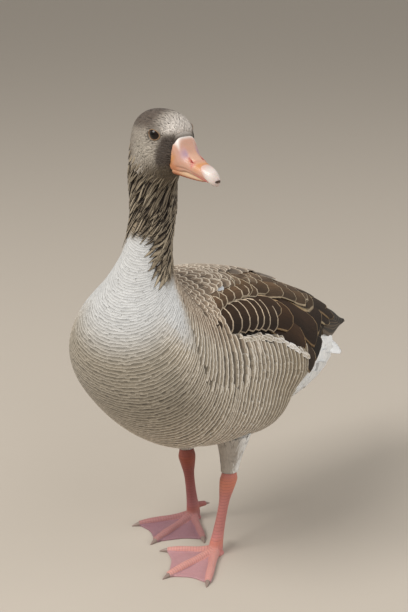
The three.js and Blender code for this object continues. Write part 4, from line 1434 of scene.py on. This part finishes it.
# %% Feathers that close over the bill's base
# mm up -> mm forward to which the feathers reach over the bill
EDGE_AT = [[455, 125], [464, 129], [470, 131.5], [474, 134.5], [477, 137], [484, 138], [497, 139]]
grid = np.meshgrid(np.linspace(0.12, 1.5, 26), turn_round(110))
roots = np.stack([v.ravel() for v in grid], -1)
roots += rng.normal(0, 0.02, roots.shape)
F, z, x = tube(BILL_UPPER, *roots.T, 0.0)
kept = F < table_at(EDGE_AT, z) + 1.6 * smooth(5, 2, np.abs(x)) + rng.normal(0, 0.25, len(F))
roots, F, z = roots[kept], F[kept], z[kept]
shade = mix(colour("463d36"), colour("b5ada4"), smooth(487, 494, z)[:, None])
shade = mix(shade, colour("5f5445"), 0.8 * smooth(472, 464, z)[:, None])
shade = shade * rng.uniform(0.85, 1.15, (len(F), 1))
lot = lay_vanes(
    bill_surface, lambda r, a: body_unwrap(19.5 + 0.3 * r, a), roots,
    np.minimum(3.6, 1.2 + 5.5 * roots[:, 0]), 0.85, lean=rng.normal(0, 0.15, len(F)),
    base=0.0, lift=0.7, arch=0.15, thick=0.2,
    tip=0.45, point=1.6, rim=0.45, along=3, across=2,
)
coat("bill_edge_feathers", [marked(lot, shade, shade * 1.2)], FACE_FEATHER)

# %% [markdown]
# ## Eyes
#
# Each eye is a ball whose pole is its optical axis, so that pupil and iris are plain functions
# of the angle from the pole. The cornea bulges a little and is glossy. A soft bare rim runs
# round the almond-shaped opening of the lids and hides where skin and ball meet.

# %% Eyes and the rims of their lids
PUPIL_ENDS, IRIS_ENDS = (22.0, 26.0), (44.0, 50.0)  # degrees from the optical axis
CORNEA = 0.04  # share of the radius by which the cornea stands out
RIM_OUT = 0.35  # mm by which the lids' rim stands outside the opening and the ball


def eye_material():
    """A wet eye, almost a mirror: the stored angle in degrees picks pupil, iris or dark edge."""
    material, tree, shader = new_material("wet_brown_eye", 0.06, Coat_Weight=0.1, Coat_Roughness=0.02)
    shader.inputs["Specular IOR Level"].default_value = 0.25
    polar = attribute(tree, "polar", "Fac")
    pupil, edge = (*colour("050403"), 1), (*colour("120b07"), 1)
    iris = tinted(tree, (*colour("20120b"), 1), (*colour("110906"), 1), noise(tree, 700.0, 3.0))
    base = tinted(tree, pupil, iris, ramp(tree, polar, *PUPIL_ENDS))
    base = tinted(tree, base, edge, ramp(tree, polar, *IRIS_ENDS))
    tree.links.new(base, shader.inputs["Base Color"])
    return material


EYE_MATERIAL = eye_material()
for label, side in SIDES.items():
    centre, outward, toward_bill, up = eye_axes(side)

    def ball(polar, turn, centre=centre, outward=outward, toward_bill=toward_bill, up=up):
        """The eyeball: a ball whose radius grows by the cornea's share near the pole."""
        p, t = polar[..., None], turn[..., None]
        radial = np.cos(p) * outward + np.sin(p) * (np.cos(t) * toward_bill + np.sin(t) * up)
        return centre + EYE["radius"] * (1 + CORNEA * bump(p, 0, 0.5)) * radial

    points, faces, polar, _ = tube_mesh(np.linspace(0.02, np.pi - 0.02, 49), turn_round(64), ball)
    piece = add_mesh("eyeball_" + label, points, faces, EYE_MATERIAL)
    store(piece, "polar", np.degrees(polar))
    finish_piece(piece, ("eye_" + label,))

    def lid_rim(turn, around, centre=centre, outward=outward, toward_bill=toward_bill, up=up):
        """A soft rim along the opening, drawn out a little towards its two corners."""
        t, w = turn[..., None], around[..., None]
        a, b = (OPENING[0] + RIM_OUT) * np.cos(t), (OPENING[1] + 0.3) * np.sin(t)
        depth = np.sqrt((EYE["radius"] + RIM_OUT) ** 2 - a**2 - b**2)
        middle = centre + a * toward_bill + b * up + depth * outward
        away = unit(a * toward_bill + b * up)
        thick = 0.5 + 0.12 * np.cos(2 * t)
        return middle + thick * (np.cos(w) * outward + np.sin(w) * away)

    T, W = np.meshgrid(turn_round(96), turn_round(12), indexing="ij")
    points = lid_rim(T, W).reshape(-1, 3)
    quads = grid_faces(96, 12, closed=True) % len(points)
    faces = outward_faces(points, quads, np.zeros((0, 3), int))
    tint = np.tile(colour("8f7257"), (len(points), 1))
    bare_piece("lid_rim_" + label, points, faces, tint, LID_SKIN, ())

# %% [markdown]
# ## Legs and feet
#
# Each leg is blended from simple closed tubes: the shank, three toes, the hind toe and a thin
# plate for the web. A voxel remesh joins them into one skin, which is then smoothed and set
# flat on the floor. Scutes are bands across the toes and down the front of the shank: their
# distance along the limb is stored on the points and the material cuts the grooves. Claws stay
# separate pieces of horn.

# %% Parts of a leg
# mm, and degrees outwards from the middle toe; hollow is the share the web's edge is drawn in
FOOT_TOP = 13.0
TOES = {
    "inner": {"length": 56, "spread": -48, "half": 5, "high": 9},
    "middle": {"length": 75, "spread": 0, "half": 5.6, "high": 10},
    "outer": {"length": 68, "spread": 37, "half": 5.2, "high": 9.5},
}
WEB = {"thick": 1.8, "root": 9.5, "hollow": 0.07}
CLAW = {"length": 9, "half": 2.9, "high": 5}
HIND = {"root": 4, "length": 17, "out": -157, "lift": 13.3, "half": 4, "high": 6.5, "claw": 6}
print("toes in mm, without claws:", {name: toe["length"] for name, toe in TOES.items()})


def planted(points, side, degrees_out, ankle):
    """Foot points turned about the ankle, outwards, and set down at the ankle."""
    turn = side * math.radians(degrees_out)
    x, y, z = np.moveaxis(points * [side, 1, 1], -1, 0)
    across = x * math.cos(turn) - y * math.sin(turn) + ankle[0]
    return np.stack([across, x * math.sin(turn) + y * math.cos(turn) - ankle[1], z], -1)


def toe_tube(start, end, half, high, lift=0.0):
    """Points and faces of a flat-soled toe from one distance to another ahead of the ankle."""

    def place(s, angle):
        rise = np.maximum(0, 0.3 + 0.7 * np.sin(angle))
        return np.stack([half(s) * np.cos(angle), -mix(start, end, s), lift + high(s) * rise], -1)

    points, faces, _, _ = tube_mesh(np.linspace(0, 1, 30), turn_round(20), place)
    return points, faces


def limb_tube(table):
    """A closed limb through rows of x, F, z, half width and half depth."""

    def place(row, angle):
        x, F, z, half, deep = np.moveaxis(spline(table, row), -1, 0)
        return np.stack([x + half * np.cos(angle), -(F + deep * np.sin(angle)), z], -1)

    points, faces, _, _ = tube_mesh(np.linspace(0, len(table) - 1, 60), turn_round(28), place)
    return points, faces


def web_reach(direction):
    """How far the web's edge is from the ankle, in degrees from the middle toe."""
    inner, middle, outer = (TOES[name] for name in ("inner", "middle", "outer"))
    reach = np.full(direction.shape, float(WEB["root"]))
    for a, b in ((inner, middle), (middle, outer)):
        inside = (direction >= a["spread"]) & (direction <= b["spread"])
        share = (direction - a["spread"]) / (b["spread"] - a["spread"])
        beyond, before = np.radians(direction - a["spread"]), np.radians(b["spread"] - direction)
        chord = a["length"] * b["length"] * np.sin(beyond + before)
        chord = chord / (a["length"] * np.sin(beyond) + b["length"] * np.sin(before) + 1e-9)
        hollow = 1 - WEB["hollow"] * np.sin(np.pi * np.clip(share, 0, 1)) ** 1.5
        reach = np.where(inside, chord * hollow, reach)
    for toe, off in ((inner, inner["spread"] - direction), (outer, direction - outer["spread"])):
        beside = (off > 0) & (direction <= 180)
        reach = np.where(beside, mix(toe["length"], WEB["root"], smooth(0, 8, off)), reach)
    return reach


def web_plate():
    """The web: a thin plate that thickens towards the ankle, with a fifth of its rim behind it."""
    first, last, behind = TOES["inner"]["spread"] - 8, TOES["outer"]["spread"] + 8, 0.2
    steps = 14

    def place(v, angle):
        u = angle / (2 * np.pi) + 0.5
        ahead = mix(first, last, u / (1 - behind))
        back = mix(last, first + 360, (u - 1 + behind) / behind)
        direction = np.where(u < 1 - behind, ahead, back)
        reach = web_reach(direction) * (1 - np.abs(v))
        z = np.where(v > 0, 0.0, WEB["thick"] + (FOOT_TOP - 5) * np.abs(v) ** 3)
        way = np.radians(direction)
        return np.stack([reach * np.sin(way), -reach * np.cos(way), z], -1)

    v = np.concatenate([np.linspace(-0.999, -1e-6, steps), np.linspace(1e-6, 0.999, steps)])
    points, faces, _, _ = tube_mesh(v, turn_round(160), place)
    return points, faces


def joined_parts(parts):
    """Points and faces of several meshes as one."""
    starts = np.cumsum([0] + [len(points) for points, _ in parts])
    faces = np.concatenate([faces + start for (_, faces), start in zip(parts, starts)])
    return np.concatenate([points for points, _ in parts]), faces


# %% Legs, webs and claws
TOE_SCUTE, SHANK_SCUTE = 3.2, 3.6  # mm from one scute's groove to the next
# the right leg's painted shade: it is drawn greyer below and browner towards the hock, as if it stood in
# the body's shade
SHADED_FOOT, SHADED_SHANK = np.array([0.62, 0.6, 0.66]), np.array([0.55, 0.42, 0.4])


def knuckles(s):
    """Three soft bulges along a toe."""
    return 1 + 0.1 * np.cos(2.5 * np.pi * s)


def leg_parts(label):
    """The closed parts of one leg and, for scutes and colours, the line of each toe."""
    side, leg = SIDES[label], LEGS[label]
    ankle = (side * STANCE, leg["ankle"])
    hock = (leg["ankle"] + leg["hock"], ANKLE_HEIGHT + leg["rise"])

    def shank(t, half, deep):
        """A section of the limb at a share t of the way from ankle to hock."""
        return [ankle[0], mix(ankle[1], hock[0], t), mix(ANKLE_HEIGHT, hock[1], t), half, deep]

    def thigh(t, half, deep):
        """A section of the limb at a share t of the way up the thigh."""
        x, F = ankle[0] + side * THIGH_OUT * t, hock[0] + leg["thigh"] * t
        return [x, F, hock[1] + THIGH_RISE * t, half, deep]

    bare = [
        [ankle[0], ankle[1], 0.5, 6.6, 8.0], [ankle[0], ankle[1], 6, 7.6, 9.2], shank(0.05, 7.2, 8.8),
        shank(0.22, 6, 7.6), shank(0.45, 5.3, 6.8), shank(0.68, 5.6, 7.2), shank(0.86, 8, 9.4),
        shank(1, 9.4, 11.4), thigh(0.1, 8.6, 10), thigh(0.2, 7.6, 8.8), thigh(0.32, 7.6, 8.8),
    ]
    web_points, web_faces = web_plate()
    web = (planted(web_points, side, -leg["toe_in"], ankle), web_faces[:, ::side])
    parts = [limb_tube(np.array(bare)), web]
    claws, lines = [], []
    for toe in TOES.values():
        out = toe["spread"] - leg["toe_in"]
        points, faces = toe_tube(
            -4, toe["length"], lambda s: toe["half"] * mix(1.1, 0.72, s) * knuckles(s),
            lambda s: toe["high"] * mix(1.15, 0.6, s) * knuckles(s),
        )
        parts.append((planted(points, side, out, ankle), faces[:, ::side]))
        points, faces = toe_tube(
            toe["length"] - 2, toe["length"] + CLAW["length"],
            lambda s: CLAW["half"] * (1 - 0.85 * s**1.5), lambda s: CLAW["high"] * (1 - 0.8 * s**1.5),
        )
        claws.append((planted(points, side, out, ankle), faces[:, ::side]))
        lines.append((side * math.radians(out), toe))
    hind = [
        toe_tube(HIND["root"] - 4, HIND["length"], lambda s: HIND["half"] * mix(1.1, 0.75, s),
                 lambda s: HIND["high"] * mix(1.2, 0.8, s), lift=HIND["lift"]),
        toe_tube(HIND["length"] - 2, HIND["length"] + HIND["claw"],
                 lambda s: HIND["half"] * 0.55 * (1 - 0.85 * s**1.5),
                 lambda s: HIND["high"] * 0.6 * (1 - 0.8 * s**1.5), lift=HIND["lift"] + 0.4),
    ]
    for into, (points, faces) in zip((parts, claws), hind):
        into.append((planted(points, side, HIND["out"], ankle), faces[:, ::side]))
    return parts, claws, lines, ankle, hock


def dress_leg(points, lines, ankle, hock, label):
    """Marking and scute coordinate of a leg's points."""
    x, y, z = points.T
    dx, dy = x - ankle[0], y + ankle[1]
    on_toe, along_toe = np.zeros(len(points)), np.zeros(len(points))
    for turn, toe in lines:
        along = dx * math.sin(turn) - dy * math.cos(turn)
        across = dx * math.cos(turn) + dy * math.sin(turn)
        weight = smooth(1.25, 0.85, np.abs(across) / toe["half"]) * smooth(4, 10, along)
        weight = weight * smooth(3.0, 4.2, z) * smooth(15, 12, z)
        along_toe = np.where(weight > on_toe, along, along_toe)
        on_toe = np.maximum(on_toe, weight)
    t = (z - ANKLE_HEIGHT) / (hock[1] - ANKLE_HEIGHT)
    axis_f = ankle[1] + np.clip(t, 0, 1) * (hock[0] - ankle[1])
    front = smooth(-0.2, 0.6, (-y - axis_f) / 8)
    on_shank = smooth(14, 18, z) * smooth(1.12, 1.0, t)
    web = smooth(10, 18, np.hypot(dx, dy)) * smooth(0.6, 0.3, on_toe) * smooth(12, 8, z)
    marking = lay_over(
        z.shape,
        ("c9837e", 1.0),
        ("b6746c", 0.8 * smooth(18, 34, z)),
        ("b28a8e", 0.9 * web),
        ("d29a90", 0.8 * on_toe),
        ("cc7c60", 0.75 * bump(t, 0.97, 0.14)),
        ("c97c64", 0.6 * bump(z, 15, 5) * smooth(24, 12, np.hypot(dx, dy))),
    )
    if label == "right":  # painted shade on the right leg: greyer below, and browner towards the hock, as if in the body's shade
        marking = marking * mix(SHADED_FOOT, SHADED_SHANK, smooth(0.1, 0.8, t)[:, None])
    coordinate = np.where(on_toe > 0.02, along_toe / TOE_SCUTE, z / SHANK_SCUTE)
    strength = np.where(on_toe > 0.02, on_toe, on_shank * mix(0.25, 1.0, front))
    return marking, np.stack([coordinate, strength, np.zeros(len(points))], -1)


VOXEL = 0.7  # mm
SOLE = 0.35  # mm under which a point is set flat on the floor
for label in SIDES:
    parts, claws, lines, ankle, hock = leg_parts(label)
    rough = add_mesh("leg_parts_" + label, *joined_parts(parts), LEG_SKIN)
    remesh = rough.modifiers.new("remesh", "REMESH")
    remesh.mode, remesh.voxel_size = "VOXEL", VOXEL * MM
    soften = rough.modifiers.new("soften", "SMOOTH")
    soften.factor, soften.iterations = 0.5, 6
    whole = bpy.data.meshes.new_from_object(rough.evaluated_get(bpy.context.evaluated_depsgraph_get()))
    rough.modifiers.clear()
    rough.data = whole
    rough.name = whole.name = "leg_" + label
    points = points_of(rough)
    points[:, 2] = np.where(points[:, 2] < SOLE, 0.0, points[:, 2])
    move_points(rough, points)
    rough.data.shade_smooth()
    marking, scale = dress_leg(points, lines, ankle, hock, label)
    store(rough, "marking", marking)
    store(rough, "scale", scale)
    finish_piece(rough, (f"tarsus_{label}", f"foot_{label}", f"hind_toe_{label}"))
    print(f"leg_{label}: {len(rough.data.polygons)} faces")
    points, faces = joined_parts(claws)
    tint = np.tile(colour("8b7970"), (len(points), 1))
    names = tuple(f"claw_{toe}_{label}" for toe in ("inner", "middle", "outer", "hind"))
    bare_piece("claws_" + label, points, faces, tint, CLAW_HORN, names)

# %% [markdown]
# ## Camera, floor and light
#
# The camera stands to the goose's left and ahead of it, at about 1.4 times its height, with a
# fairly long lens so that the head isn't drawn too large. Three soft square lamps light it over
# a plain pale floor: a key from high on the camera's left, a weak fill from the right, and a
# weak rim light from behind, which parts the back from the background.

# %% Stage
CAMERA_AT = (0.8082, -1.14945, 0.734)  # metres
CAMERA_LOOKS = Vector((-0.571, 0.758, -0.3156))
camera = bpy.data.objects.new("camera", bpy.data.cameras.new("camera"))
bpy.context.scene.collection.objects.link(camera)
camera.location = CAMERA_AT
camera.rotation_euler = CAMERA_LOOKS.to_track_quat("-Z", "Y").to_euler()
camera.data.lens = 75
camera.data.sensor_width = 36
bpy.context.scene.camera = camera

# a plain studio floor: matt, so that it shows soft shadows and no reflections
floor_material, _, floor_shader = new_material("pale_floor", 0.8)
floor_shader.inputs["Base Color"].default_value = (*colour("b9b0a4"), 1)
REACH = 9000  # mm from the middle of the floor to each edge
corners = REACH * np.array([[-1, -1, 0], [1, -1, 0], [1, 1, 0], [-1, 1, 0]], float)
floor = add_mesh("floor", corners, np.array([[0, 1, 2, 3]]), floor_material)


def area_light(name, place, target, size, power, tint):
    """A soft square light that faces a point."""
    light = bpy.data.objects.new(name, bpy.data.lights.new(name, "AREA"))
    light.data.size, light.data.energy, light.data.color = size, power, tint
    light.location = place
    light.rotation_euler = (Vector(target) - Vector(place)).to_track_quat("-Z", "Y").to_euler()
    bpy.context.scene.collection.objects.link(light)


# metres, watts and a warm or a cool white
area_light("key", (-0.7, -1.9, 2.4), (0, 0, 0.25), 1.6, 78, (1.0, 0.98, 0.95))
area_light("fill", (2.2, -0.6, 1.6), (0, 0, 0.25), 2.2, 18, (0.95, 0.97, 1.0))
area_light("rim", (1.7, 2.0, 1.5), (0, 0.1, 0.2), 1.2, 17, (1.0, 0.98, 0.96))
print("camera at", CAMERA_AT, "m, with a lens of", camera.data.lens, "mm")
world = bpy.data.worlds.new("studio")
world.use_nodes = True
world.node_tree.nodes["Background"].inputs["Color"].default_value = (0.62, 0.6, 0.57, 1)
world.node_tree.nodes["Background"].inputs["Strength"].default_value = 0.75
bpy.context.scene.world = world
bpy.context.scene.view_settings.view_transform = "Standard"
